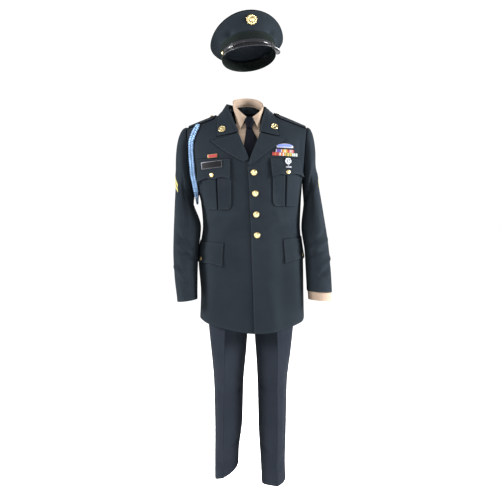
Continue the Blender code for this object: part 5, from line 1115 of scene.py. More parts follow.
def leaves(r, turn, inner, outer, count):
    """A plain ring of slanted leaves: a round band times a cosine that leans with the radius."""
    band = np.clip(1 - ((r - (inner + outer) / 2) / ((outer - inner) / 2)) ** 2, 0, 1)
    lean = (r - inner) / (outer - inner) * 1.4
    return band * (0.45 + 0.55 * np.abs(np.cos(count * turn / 2 + lean * np.sign(np.cos(turn)))))


def button_face(r, turn):
    """A dome with a plain rim and a small raised star."""
    dome = 0.30 + 0.70 * (1 - r ** 2.4)
    rim = 0.10 * bell(r - 0.90, 0.05)
    return dome + rim + 0.16 * np.sqrt(star(r, turn, 0.58, 0.26))


def disc_face(r, turn):
    """A flat disc with a rope rim and a star."""
    rim = 0.35 * bell(r - 0.90, 0.07) * (0.8 + 0.2 * np.cos(40 * turn + 9 * r))
    return 0.55 + rim + 0.45 * np.sqrt(star(r, turn, 0.66, 0.29))


def ring_face(r, turn):
    """A flat disc with a rim and two plain crossed bars."""
    x, z = r * np.cos(turn), r * np.sin(turn)
    bars = np.maximum(bell(x - z, 0.10, 4), bell(x + z, 0.10, 4)) * (r < 0.60)
    return 0.50 + 0.50 * bell(r - 0.88, 0.09, 4) + 0.35 * bars


def ground_face(r, turn):
    """A flat disc."""
    return 0.45 + 0 * r


def crest_face(r, turn):
    """The cap badge: a ring of leaves round a domed shield with a star."""
    shield = 0.52 * bell(r, 0.46, 6)
    return 0.08 + shield + 0.66 * leaves(r, turn, 0.50, 1.0, 16) + 0.34 * np.sqrt(star(r, turn, 0.42, 0.18))


def wreath_face(r, turn):
    """A ring of leaves round a plain star on a low ground."""
    return 0.25 + 0.75 * leaves(r, turn, 0.60, 1.0, 20) + 0.60 * np.sqrt(star(r, turn, 0.56, 0.25))


def turned(name, place, normal, radius, height, face, finish, solid="", wavy=0.0, around=84):
    """A round piece: its face rises by face(share of radius, angle) * height, its side goes straight
    down and its back is flat. A wavy outline is radius * (1 + wavy * cos 11 angle)."""
    normal, level, up = frame_of(normal)
    r = np.concatenate([np.linspace(0.03, 0.96, 25), [0.985, 1.0, 1.0]])
    turn = np.arange(around) * 2 * np.pi / around
    rr, tt = np.meshgrid(r, turn, indexing="xy")
    rise = face(rr, tt)
    rise[:, -2] *= 0.85
    rise[:, -1] = 0.0
    out = rr * radius * (1 + wavy * rr ** 4 * np.cos(11 * tt))
    spot = place + normal * (rise * height)[..., None] + out[..., None] * (
        np.cos(tt)[..., None] * level + np.sin(tt)[..., None] * up)
    top = place + normal * face(np.zeros(1), np.zeros(1))[0] * height
    points = np.vstack([spot.reshape(-1, 3), top, place])
    count = around * len(r)
    i = np.arange(around)
    k = (i + 1) % around
    fan = stack(i * len(r), k * len(r), count)
    back = stack(k * len(r) + len(r) - 1, i * len(r) + len(r) - 1, count + 1)
    grid = quads(around, len(r), True)
    peak = rise[:, :-2].max()
    marks = np.clip(1 - rise / peak, 0, 1) ** 1.3
    marks = np.concatenate([marks.ravel(), [0.0, 0.0]])
    make(name, points, [grid[:, ::-1], fan, back], finish, solid, marks=marks)


def front_place(side, x, z, rise):
    """A point above the coat's front and the direction that it faces."""
    across, run = locate(side, np.array([x]), np.array([z]))
    lifted = rise + lap_lift(side, np.array([x]), run)
    return on_torso(side, across, run, lifted)[0], torso_normal(side, across, run)[0]


def small_button(solid, place, normal):
    """A button for a flap, an epaulet or the chin strap."""
    turned(solid + "_gold", place, normal, *SMALL_BUTTON, button_face, GOLD, around=64)


def buttons():
    """Four buttons close the front, and a smaller one holds each flap and epaulet."""
    for number, z in enumerate(FRONT_BUTTONS_Z, start=1):
        _, run = locate(LEFT, np.array([0.02]), np.array([z]))
        x = level_of(COAT_ROWS, run)[0, 0]
        place, normal = front_place(LEFT, x, z, 0.0003)
        turned(f"front_button_{number}_gold", place, normal, *LARGE_BUTTON, button_face, GOLD)
    for side, label in SIDES:
        place, normal = front_place(side, *CHEST_BUTTON[side], FLAP_RISE + FLAP_WALL + 0.0001)
        small_button("chest_button_" + label, place, normal)
        way, level = SKIRT_BUTTON[side]
        ways, levels = np.array([way, way + 0.01, way]), np.array([level, level, level + 0.002])
        spot = wrap_point(side, ways, levels, SKIRT_FLAP_RISE + FLAP_WALL + 0.0008)
        normal = side * np.cross(spot[2] - spot[0], spot[1] - spot[0])
        small_button("skirt_button_" + label, spot[0], normal)
        across = across_at(side, 0.0, np.array([EPAULET[side][2]]))
        place = on_torso(side, across, np.zeros(1), EPAULET_TOP + 0.0005)[0]
        small_button("epaulet_button_" + label, place, torso_normal(side, across, np.zeros(1))[0])


def plate(centre, wide, tall, tilt, columns, rows, trim=0.0):
    """World x and z of a grid over a small plate, turned by its tilt and trimmed all round."""
    a, b = grid_of((steps(columns, 0.03) - 0.5) * (wide - 2 * trim),
                   (steps(rows, 0.06) - 0.5) * (tall - 2 * trim))
    tilt = np.radians(tilt)
    return (centre[0] + a * np.cos(tilt) - b * np.sin(tilt),
            centre[1] + a * np.sin(tilt) + b * np.cos(tilt))


WHITE, VIOLET, YELLOW = (0.80, 0.80, 0.78), (0.150, 0.060, 0.420), (0.85, 0.55, 0.04)
RED, GREEN, ORANGE = (0.52, 0.020, 0.025), (0.020, 0.180, 0.060), (0.75, 0.15, 0.02)
# Each ribbon is a row of stripes: share of its width and colour
RIBBON_ROWS = {
    "upper": (((0.14, WHITE), (0.72, VIOLET), (0.14, WHITE)),
              ((0.20, ORANGE), (0.22, YELLOW), (0.16, WHITE), (0.22, YELLOW), (0.20, ORANGE)),
              ((0.30, RED), (0.12, WHITE), (0.16, RED), (0.12, WHITE), (0.30, RED))),
    "lower": (((0.40, RED), (0.20, ORANGE), (0.40, RED)),
              ((0.15, ORANGE), (0.20, WHITE), (0.30, ORANGE), (0.20, WHITE), (0.15, ORANGE)),
              ((0.20, YELLOW), (0.15, GREEN), (0.30, YELLOW), (0.15, GREEN), (0.20, YELLOW)),
              ((0.12, GREEN), (0.18, WHITE), (0.12, GREEN), (0.16, WHITE), (0.12, GREEN), (0.18, WHITE),
               (0.12, GREEN))),
}


def striped(row, across):
    """The colour of a row of ribbons at a share of its width."""
    count = len(row)
    ends, colours = [], []
    for number, ribbon in enumerate(row):
        edge = number / count
        for share, colour in ribbon:
            edge += share / count
            ends.append(edge)
            colours.append(colour)
    return np.array(colours)[np.clip(np.searchsorted(ends, across), 0, len(ends) - 1)]


def insignia():
    """Pins and ribbons on the chest and collar, with plain devices only."""
    spot = ((-0.1395, -0.1860), 0.075, 0.026, 6.0)
    top = FLAP_RISE + FLAP_WALL + 0.0006
    laid("name_plate_rim", RIGHT, *plate(*spot, 44, 16), top, 0.0016, SILVER)
    laid("name_plate_face", RIGHT, *plate(*spot, 44, 16, 0.0017), top + 0.0013, 0.0006, BLACK, None)
    spot = ((-0.1385, -0.1530), 0.036, 0.014, 5.0)
    laid("citation_frame", RIGHT, *plate(*spot, 30, 14), LIFT, 0.0022, GOLD, "citation_ribbon")
    x, z = plate(*spot, 30, 14, 0.0017)
    red = np.broadcast_to(np.array(RED) * 1.15, (*x.shape, 3))
    laid("citation_ribbon_cloth", RIGHT, x, z, LIFT + 0.0016, 0.0012, RIBBON, None, dye=red)
    for row, wide, up in (("upper", 0.068, 0.0062), ("lower", 0.096, -0.0060)):
        a = steps(150, 0.03)
        x, z = plate((0.1290 + 0.0002 * up, -0.1410 + up), wide, 0.0114, -2.0, 150, 8)
        dye = np.repeat(striped(RIBBON_ROWS[row], a)[:, None], x.shape[1], axis=1)
        part = (a * len(RIBBON_ROWS[row])) % 1.0
        thick = (0.0024 + groove(np.minimum(part, 1 - part), 0.02, 0.0010))[:, None] + 0 * x
        solid = "ribbon_bars" if row == "lower" else None
        laid(f"ribbon_row_{row}", LEFT, x, z, LIFT, thick, RIBBON, solid, dye=dye)
    breast_badge()
    place, normal = front_place(LEFT, 0.1384, -0.1725, top)
    turned("wreath_badge_ring", place, normal, 0.0130, 0.0026, wreath_face, SILVER, wavy=0.03)
    bar = plate((0.1392, -0.1945), 0.021, 0.0056, 0.0, 24, 8)
    laid("wreath_badge_bar", LEFT, *bar, top, 0.0022, SILVER, None)
    link = plate((0.1388, -0.1878), 0.0032, 0.0090, 0.0, 6, 10)
    laid("wreath_badge_link", LEFT, *link, top, 0.0012, SILVER, None)
    for side, label, seat, face in ((RIGHT, "right", 0.0022, disc_face), (LEFT, "left", 0.0014, ring_face)):
        place, normal = front_place(side, *COLLAR_DISC[side], LIFT + COAT_WALL + seat)
        turned(f"collar_disc_{label}_gold", place, normal, 0.0130, 0.0024, face, GOLD)
        if side == LEFT:
            turned("collar_disc_left_ground", place + normal * 0.0008, normal, 0.0098, 0.0012,
                   ground_face, BLACK, None)


def breast_badge():
    """A silver plate, higher in the middle, with leaf relief, and a blue enamel bar on it."""
    a, b = grid_of(2 * steps(110, 0.008) - 1, 2 * steps(20, 0.03) - 1)
    tall = 0.019 * (0.45 + 0.55 * np.abs(np.cos(a * np.pi / 2)) ** 0.8)
    x = 0.1280 + a * 0.031
    z = -0.1195 + b * tall / 2 + 0.004 * (1 - a ** 2)
    leaf = 0.0007 * np.abs(np.cos(26 * a + 2.2 * b * np.sign(a))) * np.clip(1 - b ** 4, 0, 1)
    laid("breast_badge_leaves", LEFT, x, z, 0.0036, 0.0014 + leaf, SILVER)
    a, b = grid_of(2 * steps(60, 0.012) - 1, 2 * steps(14, 0.05) - 1)
    x = 0.1280 + a * 0.0265
    z = -0.1178 + b * 0.0052 * (1 - 0.25 * a ** 4) + 0.002 * (1 - a ** 2)
    laid("breast_badge_bar", LEFT, x, z, 0.0054, 0.0012, BLUE, None)


def cord_route(at):
    """The cord's middle and its twist at shares of its length."""
    run, across, rise = np.array(CORD_OVER).T
    over = [np.column_stack([on_torso(RIGHT, across, run * way, rise), np.zeros(len(run))])
            for way in (-1, 1)]
    route = np.vstack([over[0], np.array(CORD_UNDER), over[1][::-1]])
    route[:, 3] *= TWIST_WEIGHT
    way = path_points(route, at)
    return way[:, :3], way[:, 3:] / TWIST_WEIGHT


def shoulder_cord():
    """A plait of three doubled strands. Strand k swings across by 7.2 mm * sin(t + k 120 deg) and in
    depth by 2.4 mm * sin(2 (t + k 120 deg)), with t one turn each 27 mm of the cord's way."""
    count = 460
    middle, twist = cord_route(np.linspace(0, 1, count))
    tangent = unit(np.gradient(middle, axis=0))
    way = run_along(middle)
    wide = (1 - twist) * np.array([1.0, 0.0, 0.0]) + twist * np.array([0.0, 0.0, 1.0])
    wide = unit(wide - tangent * np.sum(wide * tangent, axis=1, keepdims=True))
    deep = np.cross(tangent, wide)
    around = 9
    turn = np.arange(around) * 2 * np.pi / around
    blocks, faces, corners, marks = [], [], [], []
    tips = np.minimum(way, way[-1] - way)
    gather = 0.55 + 0.45 * ease(tips / 0.02)
    for strand in range(3):
        phase = 2 * np.pi * way / 0.027 + strand * 2 * np.pi / 3
        side_way = 0.0072 * np.sin(phase) * gather
        depth = 0.0024 * np.sin(2 * phase)
        line = middle + wide * side_way[:, None] + deep * depth[:, None]
        ahead = unit(np.gradient(line, axis=0))
        beside = unit(np.cross(deep, ahead))
        over = np.cross(ahead, beside)
        for pair in (-1, 1):
            core = line + beside * (pair * 0.0012)
            radius = 0.0017
            ring = (core[:, None] + radius * (np.cos(turn)[None, :, None] * beside[:, None]
                                              + np.sin(turn)[None, :, None] * over[:, None]))
            # The mark is 1 where a strand lies deep in the plait and 0 on its crests: the material paints
            # shade there.
            height = np.abs(np.sum((ring - middle[:, None]) * deep[:, None], axis=-1))
            marks += [np.clip(1 - height / 0.0042, 0, 1).ravel(), np.zeros(2)]
            start = sum(len(block) for block in blocks)
            blocks += [ring.reshape(-1, 3), core[[0, -1]]]
            grid = quads(count, around + 1)
            i, j = grid // (around + 1), grid % (around + 1)
            faces.append(start + i * around + j % around)
            corners.append(stack(way[i] * 1.15, j * 2 * np.pi * radius / around).reshape(-1, 2))
            k = np.arange(around)
            last = start + (count - 1) * around
            cap = start + count * around
            for base, pole, flip in ((start, cap, True), (last, cap + 1, False)):
                fan = stack(base + k, base + (k + 1) % around, pole)
                faces.append(fan[:, ::-1] if flip else fan)
                corners.append(np.zeros((around * 3, 2)))
    piece = make("shoulder_cord_plait", np.vstack(blocks), faces, CORD,
                 uv=np.vstack(corners), marks=np.concatenate(marks))
    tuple(middle[0])


def chevrons():
    """Two stripes that meet in a point, in satin stitch on a backing cloth, on each upper sleeve."""
    for side, label in SIDES:
        a, b = grid_of(2 * steps(72, 0.006) - 1, steps(46, 0.02))
        share = CHEVRON_TURN[side] + 0.13 * a
        along = 0.205 + 0.045 * np.abs(a) + 0.045 * b
        stripe = np.maximum(bell(b - 0.27, 0.155, 8), bell(b - 0.75, 0.155, 8))
        face, _ = on_sleeve(side, share, along, LIFT + 0.0006 + 0.0006 * stripe)
        back, _ = on_sleeve(side, share, along, LIFT)
        dye = np.where((stripe > 0.5)[..., None], (0.72, 0.62, 0.16), (0.075, 0.100, 0.085))
        shell(f"chevrons_{label}_patch", face, back, EMBROIDERY, dye=dye)


def shirt():
    """What shows of the shirt: its collar over a band, both fronts in the open coat, the left cuff."""
    at = steps(110, 0.008)
    top, edge = path_points(SHIRT_CREASE, at), path_points(SHIRT_EDGE, at)
    outward = unit((top - np.array([NECK_CENTRE, 0.0, 0.0])) * LEVEL)
    share = steps(30, 0.02)[None, :, None]
    face = top[:, None] * (1 - share) + edge[:, None] * share
    face = face + outward[:, None] * 0.0022 * np.sin(np.pi * np.clip(share * 1.2, 0, 1))
    face = face + outward[:, None] * 0.0006 * np.sin(np.pi * share) * np.sin(at * 41.0)[:, None, None]
    normal = grid_normal(face, outward[:, None])
    shell("shirt_collar_cloth", face, face - normal * 0.0012, POPLIN)
    lines = [inset_line(face, normal, 0.0055, where) for where in ("last column", "first row", "last row")]
    stitches("shirt_stitching", lines, TAN_THREAD)
    share = np.interp(steps(16, 0.04), (0, 1), (0.08, 0.75))[None, :, None]
    band = (top[:, None] * (1 - share) + edge[:, None] * share - outward[:, None] * 0.0021)[5:-5]
    shell("shirt_band_cloth", band, band - outward[5:-5, None] * 0.0010, POPLIN)
    for side, label in SIDES:
        run = -np.linspace(0.050, 0.245, 60)[:, None] * np.ones((1, 34))
        middle = level_of(TIE_LINE, -run)[..., 0]
        roll = level_of(ROLL_LINE[side], np.minimum(-run, BREAK_RUN[side]))[..., 0]
        start = middle + side * SEAM_GAP
        x = start + (roll + side * 0.030 - start) * np.linspace(0, 1, 34)[None, :]
        across = across_at(side, run, x)
        slack = 0.0006 * np.sin(90 * x + 30 * run) * ease((-run - 0.05) / 0.03)
        shell(f"shirt_front_{label}_cloth", on_torso(side, across, run, SHIRT_RISE + slack),
              on_torso(side, across, run, SHIRT_RISE - 0.0010 + slack), POPLIN)
    along = np.interp(steps(30, 0.03), (0, 1), (0.90, 1.085))
    outer = sleeve(LEFT, (np.arange(110) / 110)[:, None], along[None, :])
    inward = unit((outer.mean(axis=0, keepdims=True) - outer) * LEVEL)
    face = outer + inward * 0.0030
    shell("shirt_cuff_left_cloth", face, face + inward * 0.0010, POPLIN, wrap=True)


def tie():
    """A knot, wrapped round with a slanted fold, and the blade below it with a dimple under the knot."""
    turn = np.arange(72) * 2 * np.pi / 72
    down = np.linspace(0.006, 0.047, 40)
    x, y, wide, deep = columns_of([(-z, *row) for z, *row in TIE_KNOT], down)
    z = -down
    corner = np.abs(np.cos(turn)) ** 0.7 * np.sign(np.cos(turn))
    slant = z[None, :] + 0.030 + 0.32 * corner[:, None] * wide[None, :]
    grow = 1 - 0.06 * bell(slant, 0.0014)
    rings = stack(x[None, :] + wide[None, :] * corner[:, None] * grow,
                  y[None, :] + deep[None, :] * np.sin(turn)[:, None] * grow, z)
    inner = rings - (rings - rings.mean(axis=0, keepdims=True)) * 0.12
    shell("tie_knot_cloth", rings, inner, TIE, wrap=True)
    run = np.linspace(0.0660, 0.240, 82)
    line = level_of(TIE_LINE, run)
    a = 2 * steps(40, 0.02) - 1
    x = line[:, 0][:, None] + a[None, :] * line[:, 1][:, None]
    crown = 0.0020 * (1 - a[None, :] ** 2) * line[:, 3][:, None]
    dimple = -0.0022 * bell(a, 0.30)[None, :] * ease((0.135 - run) / 0.060)[:, None]
    rise = line[:, 2][:, None] + crown + dimple
    runs = -np.repeat(run[:, None], len(a), axis=1)
    mix = (a[None, :, None] + 1) / 2
    faces = []
    for drop in (0.0, 0.0016):
        right = on_torso(RIGHT, across_at(RIGHT, runs, x), runs, rise - drop)
        left = on_torso(LEFT, across_at(LEFT, runs, x), runs, rise - drop)
        faces.append(right * (1 - mix) + left * mix)
    shell("tie_blade_cloth", faces[0], faces[1], TIE)


def leg(side, front, share, drop):
    """One panel of a trouser leg. share goes from the side seam (0) over the pressed crease (0.5) to
    the centre seam or inseam (1), as two curved halves that meet in the crease."""
    share, drop = np.broadcast_arrays(share, drop)
    (out_x, shift, crease_x, front_y, back_y, mid_x, front_mid, back_mid, mid_right, mid_left,
     roundness, spread) = columns_of(TROUSER_LEVELS, drop)
    crease_y = front_y if front else back_y
    mid_y = front_mid if front else back_mid
    mid_drop = mid_right if side == RIGHT else mid_left
    t = np.where(share <= 0.5, share * 2, share * 2 - 1)
    inner_x, inner_y = mid_x + (crease_x - mid_x) * spread, mid_y + (crease_y - mid_y) * roundness
    x = np.where(share <= 0.5, (1 - t) ** 2 * out_x + 2 * t * (1 - t) * out_x + t ** 2 * crease_x,
                 (1 - t) ** 2 * crease_x + 2 * t * (1 - t) * inner_x + t ** 2 * mid_x)
    y = np.where(share <= 0.5, 2 * t * (1 - t) * crease_y * roundness + t ** 2 * crease_y,
                 (1 - t) ** 2 * crease_y + 2 * t * (1 - t) * inner_y + t ** 2 * mid_y)
    return stack(shift + side * x, y, -(drop + (mid_drop - drop) * share ** 1.5))


def trousers():
    """Each leg has a front and a back panel, with its creases and a deep turned hem."""
    share = np.unique(np.concatenate([steps(48, 0.008), [0.485, 0.493, 0.5, 0.507, 0.515]]))
    drop = WAIST_DROP + (HEM_DROP - WAIST_DROP) * steps(134, 0.003)
    for side, label in SIDES:
        for front, word in ((True, "front"), (False, "back")):
            outer = leg(side, front, share[:, None], drop[None, :])
            outer[0, :, 1] = (-1 if front else 1) * SEWN_GAP
            outer[-1, :, 0] = np.where(np.abs(outer[-1, :, 0]) < 0.02,
                                       side * np.maximum(side * outer[-1, :, 0], SEWN_GAP), outer[-1, :, 0])
            axis = stack(np.interp(drop, (0.40, 0.62, 0.70, 1.4), (0.04, 0.05, 0.085, 0.09)) * side,
                         0 * drop, outer[len(share) // 2, :, 2])
            normal = grid_normal(outer, outer - axis[None])
            normal[0] = np.array([side, 0.0, 0.0])
            lower = drop > 0.70
            normal[-1, lower] = np.array([-side, 0.0, 0.0])
            normal[-1, ~lower, 0] = 0.0
            normal[-1] = unit(normal[-1])
            u, v = share[:, None] * LEG_WAY, drop[None, :] + 0 * share[:, None]
            folds = soft_lines(LEG_FRONT_FOLDS if front else LEG_BACK_FOLDS, u, v + 0.006 * side)
            fade = LEG_DEPTH * (ease(share / 0.08) * ease((1 - share) / 0.08))
            folds *= fade[:, None] * ease((v - 0.66) / 0.06)
            hem = 0.0004 * bell(HEM_DROP - v, 0.040, 4)
            hem += 0.0016 * np.exp(-np.abs(u - LEG_WAY / 2) / 0.0035) * ease((v - 0.74) / 0.10)
            outer = outer + normal * (folds + hem)[..., None]
            shell(f"trouser_{word}_{label}_cloth", outer, outer - normal * TROUSER_WALL, TROUSER)
    turn = (np.arange(120) + 0.5) * 2 * np.pi / 120
    out_x, shift, _, front_y, back_y = level_of(TROUSER_LEVELS, np.array([WAIST_DROP]))[0][:5]
    half = np.where(np.sin(turn) < 0, -front_y, back_y) + 0.001
    rim = stack(shift + out_x * np.sign(np.cos(turn)) * np.abs(np.cos(turn)) ** 0.8,
                half * np.sign(np.sin(turn)) * np.abs(np.sin(turn)) ** 0.8, 0 * turn)
    up = steps(12, 0.05)[None, :, None]
    outer = rim[:, None] * (1 - up * np.array([0.015, 0.015, 0.0]))
    outer = outer + np.array([0, 0, 1.0]) * (SEAM_GAP - WAIST_DROP + WAISTBAND_HEIGHT * up)
    inward = -unit(rim)
    shell("waistband_cloth", outer, outer + inward[:, None] * TROUSER_WALL, TROUSER, wrap=True)


def cap_matrix():
    """The cap's place: tilted back, turned and leaned, as it sits on the head."""
    (c, s), (d, t), (e, u) = [(np.cos(x), np.sin(x)) for x in (CAP_TILT, CAP_TURN, CAP_LEAN)]
    tilt = np.array([[1, 0, 0], [0, c, -s], [0, s, c]])
    turn = np.array([[d, -t, 0], [t, d, 0], [0, 0, 1]])
    lean = np.array([[e, 0, u], [0, 1, 0], [-u, 0, e]])
    return lean @ turn @ tilt


def cap_to_world(points):
    """Points in the cap's own frame, put in their place."""
    return points @ cap_matrix().T + np.array(CAP_PLACE)


def away_at(turn):
    """The level direction away from the head. turn is 0 at the front and grows to the wearer's left."""
    return stack(np.sin(turn), -np.cos(turn), 0 * turn)


def cap_shell(name, outer, inner, finish, **more):
    """A wall between two grids in the cap's own frame."""
    shell(name, cap_to_world(outer), cap_to_world(inner), finish, **more)


def band_oval(turn, height):
    """The band: an oval round the head, a little wider at its top."""
    turn, height = np.broadcast_arrays(turn, height)
    flare = 1 + BAND_FLARE * height / BAND_HEIGHT
    return stack(BAND_HALF_WIDTH * flare * np.sin(turn), -BAND_HALF_LENGTH * flare * np.cos(turn),
                 height)


def band_top(turn):
    """The band's height, a little less at the back."""
    return BAND_HEIGHT * (BAND_BACK_SHARE + (1 - BAND_BACK_SHARE) * (1 + np.cos(turn)) / 2)


def crown_rim(turn):
    """The rim of the crown, high at the front and low at the back."""
    c = np.cos(turn)
    high = CROWN_HEIGHT_SIDE + (CROWN_HEIGHT_FRONT - CROWN_HEIGHT_SIDE) * np.clip(c, 0, 1) ** 1.2
    low = CROWN_HEIGHT_SIDE + (CROWN_HEIGHT_BACK - CROWN_HEIGHT_SIDE) * np.clip(-c, 0, 1)
    return stack(CROWN_HALF_WIDTH * np.sin(turn), -CROWN_LENGTH * c, np.where(c > 0, high, low))


def crown_side(turn, up):
    """The crown's side, from the top of the band (0) to its rim (1): a quadratic that leaves the band
    steeply and bells out."""
    turn, up = np.broadcast_arrays(turn, up)
    start, end = band_oval(turn, band_top(turn) + SEAM_GAP), crown_rim(turn)
    control = start + (end - start) * np.array([0.35, 0.35, 0.62])
    up = up[..., None]
    return (1 - up) ** 2 * start + 2 * up * (1 - up) * control + up ** 2 * end


def crown_top(turn, inward):
    """The crown's top, from its rim (0) to its middle (1), stretched nearly flat over the rim."""
    middle = np.array([0.0, -0.005, (CROWN_HEIGHT_FRONT + CROWN_HEIGHT_BACK) / 2 - 0.004])
    turn, inward = np.broadcast_arrays(turn, inward)
    inward = inward[..., None]
    point = crown_rim(turn) * (1 - inward) + middle * inward
    point[..., 2] += CROWN_PUFF * np.sin(np.pi * np.clip(inward[..., 0] * 1.6, 0, 1))
    return point


def cap():
    """The service cap. The crown's side is in four parts, with a furrow at each join and a soft dent
    low down beside the stiff front; its top is sewn to it with a raised welt."""
    turn = (np.arange(160) * 2 * np.pi / 160)[:, None]
    inward = -away_at(turn)
    outer = band_oval(turn, band_top(turn) * steps(20, 0.03)[None, :])
    cap_shell("cap_band_cloth", outer, outer + inward * CAP_WALL, BRAIDED_BAND, wrap=True)
    up = steps(46, 0.012)[None, :]
    outer = crown_side(turn, up)
    off = [np.abs((turn - at + np.pi) % (2 * np.pi) - np.pi) for at in np.radians((52, 128, 232, 308))]
    dents = sum(-0.0009 * bell(away, 0.012) for away in off) + 0 * up
    for away, deep in zip(off, (0.0135, 0.0060, 0.0060, 0.0135)):
        dents = dents - deep * np.exp(-(away / 0.17) ** 2 - ((up - 0.18) / 0.19) ** 2)
    welt = 0.0010 * bell(up - 1.0, 0.03)
    outer = outer - inward * (dents * ease(up / 0.06) + welt)[..., None]
    # The shade here is painted shade along the foot of the crown's side, where it meets the band.
    cap_shell("cap_crown_side_cloth", outer, outer + inward * CAP_WALL, SERGE, wrap=True,
              shade=0.6 * bell(up, 0.035) + 0 * turn)
    crown_lid(turn)
    visor()
    chin_strap()
    front = crown_side(np.zeros((2, 1)), np.array([[0.50], [0.55]]))[:, 0]
    normal = unit(np.cross(np.array([1.0, 0.0, 0.0]), front[1] - front[0]))
    seat = cap_to_world((front[0] + normal * 0.0014)[None])[0]
    turned("cap_badge_gold", seat, cap_matrix() @ normal, 0.0200, 0.0062, crest_face, GOLD, wavy=0.05,
           around=180)


def crown_lid(turn):
    """The crown's top: rings from the welt at its rim to its middle, closed there on both faces."""
    into = np.concatenate([[0.0, 0.006, 0.014, 0.026], np.linspace(0.045, 0.985, 34)])[None, :]
    outer = crown_top(turn, into) + np.array([0, 0, CAP_WALL + SEAM_GAP])
    welt = 0.0016 * bell(into - 0.012, 0.012) - 0.0010 * bell(into - 0.050, 0.016)
    sag = 0.0012 * np.sin(3 * turn + 0.6) * np.sin(np.pi * into) ** 2
    outer[..., 2] += welt + sag
    inner = outer - np.array([0, 0, CAP_WALL])
    outer, inner = cap_to_world(outer), cap_to_world(inner)
    rows, columns = outer.shape[:2]
    count = rows * columns
    points = np.vstack([outer.reshape(-1, 3), inner.reshape(-1, 3),
                        outer[:, -1].mean(0), inner[:, -1].mean(0)])
    grid = quads(rows, columns, True)
    i = np.arange(rows)
    k = (i + 1) % rows
    rim = stack(k * columns, i * columns, i * columns + count, k * columns + count)
    last = columns - 1
    fan = stack(i * columns + last, k * columns + last, 2 * count)
    under = stack(k * columns + last + count, i * columns + last + count, 2 * count + 1)
    flat = np.vstack([crown_top(turn, into)[..., :2].reshape(-1, 2)] * 2 + [np.zeros((2, 2))])
    faces = [grid, grid[:, ::-1] + count, rim, fan, under]
    uv = np.vstack([flat[block].reshape(-1, 2) for block in faces])
    marks = np.tile(np.exp(-(into * 0.13 / 0.004)) + 0 * turn, (2, 1)).ravel()
    make("cap_crown_top_cloth", points, faces, SERGE, uv=uv, marks=np.concatenate([marks, [0, 0]]))


def visor():
    """The visor springs from the band's lower front edge and slopes down, widest at the middle, with a
    raised binding round its edge."""
    turn = VISOR_SPAN * (2 * steps(120, 0.004) - 1)
    grown = np.clip(np.cos(turn / VISOR_SPAN * np.pi / 2), 0, 1) ** 0.62
    out = unit(away_at(turn) * np.array([0.55, 1.0, 1.0]))
    start = band_oval(turn, 0.0) + away_at(turn) * 0.0014
    reach = steps(36, 0.02)
    far = np.maximum(grown, 0.06)[:, None, None] * reach[None, :, None]
    face = start[:, None] + out[:, None] * VISOR_REACH * far
    face[..., 2] -= VISOR_DROP * far[..., 0] ** 1.15 - 0.004
    face[..., 2] -= VISOR_BOW * (np.abs(turn) / VISOR_SPAN)[:, None] ** 2
    from_rim = (np.maximum(grown, 0.06)[:, None] * (1 - reach[None, :])) * VISOR_REACH
    binding = 0.0009 * bell(from_rim - 0.0016, 0.0016, 4)
    up = np.array([0, 0, 1.0])
    cap_shell("cap_visor_patent", face + up * binding[..., None],
              face - up * (VISOR_WALL + binding[..., None]), PATENT, turned=0.7)


def chin_strap():
    """A doubled strap with a shallow furrow along each edge, held by two slides and two buttons."""
    arc = (STRAP_SPAN * (2 * steps(110, 0.004) - 1))[:, None]
    across = steps(16, 0.06)[None, :]
    out = away_at(arc)
    outer = band_oval(arc, STRAP_LOW + STRAP_TALL * across)
    swell = 0.0004 * np.sin(np.pi * across) + groove(np.abs(across - 0.5) - 0.36, 0.05, 0.0003)
    laps = 0.0006 * ease((np.abs(arc) - 0.30) / 0.02) * ease((1.10 - np.abs(arc)) / 0.02)
    cap_shell("cap_chin_strap_patent", outer + out * (0.0028 + swell + laps)[..., None],
              outer + out * 0.0008, PATENT, turned=0.7)
    for side, label in SIDES:
        at = side * SLIDE_TURN
        arc = (at + 0.06 * (2 * steps(20, 0.05) - 1))[:, None]
        across = steps(16, 0.06)[None, :]
        outer = band_oval(arc, STRAP_LOW - 0.0015 + (STRAP_TALL + 0.003) * across)
        out = away_at(arc)
        bars = 0.0008 * bell(np.abs(arc - at) - 0.045, 0.012, 4) + 0 * across
        cap_shell(f"strap_slide_{label}_patent", outer + out * (0.0046 + bars)[..., None],
                  outer + out * 0.0036, PATENT, turned=0.7)
        at = side * CAP_BUTTON_TURN
        out = away_at(at)
        place = band_oval(np.array([at]), np.array([STRAP_LOW + STRAP_TALL / 2]))
        small_button("cap_button_" + label, cap_to_world(place + out * 0.0009)[0], cap_matrix() @ out)


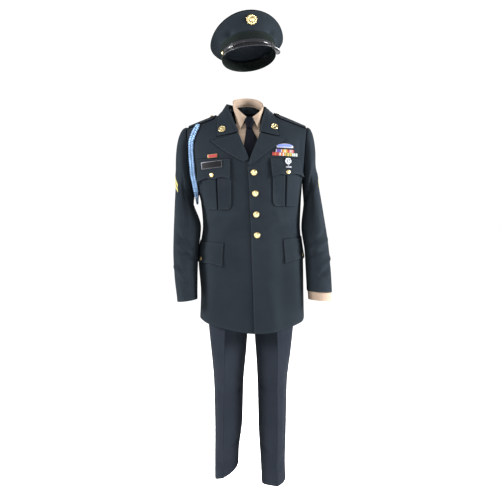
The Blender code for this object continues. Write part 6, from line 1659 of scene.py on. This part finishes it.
def studio():
    """The camera at the photograph's angle, four soft lights, a pale sky and a plain pale floor."""
    eye = bpy.data.cameras.new("camera")
    eye.lens = LENS_MM
    eye.sensor_width = FILM_MM
    camera = bpy.data.objects.new("camera", eye)
    camera.location = EYE
    camera.rotation_euler = (EYE_TILT, 0.0, 0.0)
    bpy.context.scene.collection.objects.link(camera)
    bpy.context.scene.camera = camera
    for name, place, size, power in LIGHTS:
        light = bpy.data.lights.new(name, "AREA")
        light.shape = "DISK"
        light.size = size
        light.energy = power
        lamp = bpy.data.objects.new(name, light)
        lamp.location = place
        aim = Vector(LIGHT_AIM) - Vector(place)
        lamp.rotation_euler = aim.to_track_quat("-Z", "Y").to_euler()
        bpy.context.scene.collection.objects.link(lamp)
    world = bpy.data.worlds.new("pale sky")
    world.use_nodes = True
    world.node_tree.nodes["Background"].inputs["Color"].default_value = (1.0, 1.0, 1.0, 1.0)
    world.node_tree.nodes["Background"].inputs["Strength"].default_value = SKY
    bpy.context.scene.world = world
    bpy.context.scene.view_settings.view_transform = "Standard"
    bpy.context.scene.view_settings.exposure = EXPOSURE
    turn = np.arange(96) * 2 * np.pi / 96
    mesh = bpy.data.meshes.new("floor")
    rim = stack(FLOOR_REACH * np.cos(turn), FLOOR_REACH * np.sin(turn), FLOOR_Z)
    mesh.from_pydata(rim.tolist(), [], [list(range(96))])
    floor = bpy.data.objects.new("floor", mesh)
    finish, tree, _, _ = blank("pale floor", 0.9)
    grain = node(tree, "ShaderNodeTexNoise", {"Scale": 6.0}).outputs["Fac"]
    tree.links.new(ramp(tree, grain, ((0.2, (0.95, 0.95, 0.95)), (0.8, (0.97, 0.97, 0.97)))),
                   tree.nodes["Principled BSDF"].inputs["Base Color"])
    mesh.materials.append(finish)
    bpy.context.scene.collection.objects.link(floor)


studio()
shoulder_cord()
coat_fronts()
coat_backs()
sleeves()
lapels()
collar()
chest_pockets()
skirt_flaps()
epaulets()
buttons()
insignia()
chevrons()
shirt()
tie()
trousers()
cap()
stitches("coat_stitching", stitch_lines, THREAD)
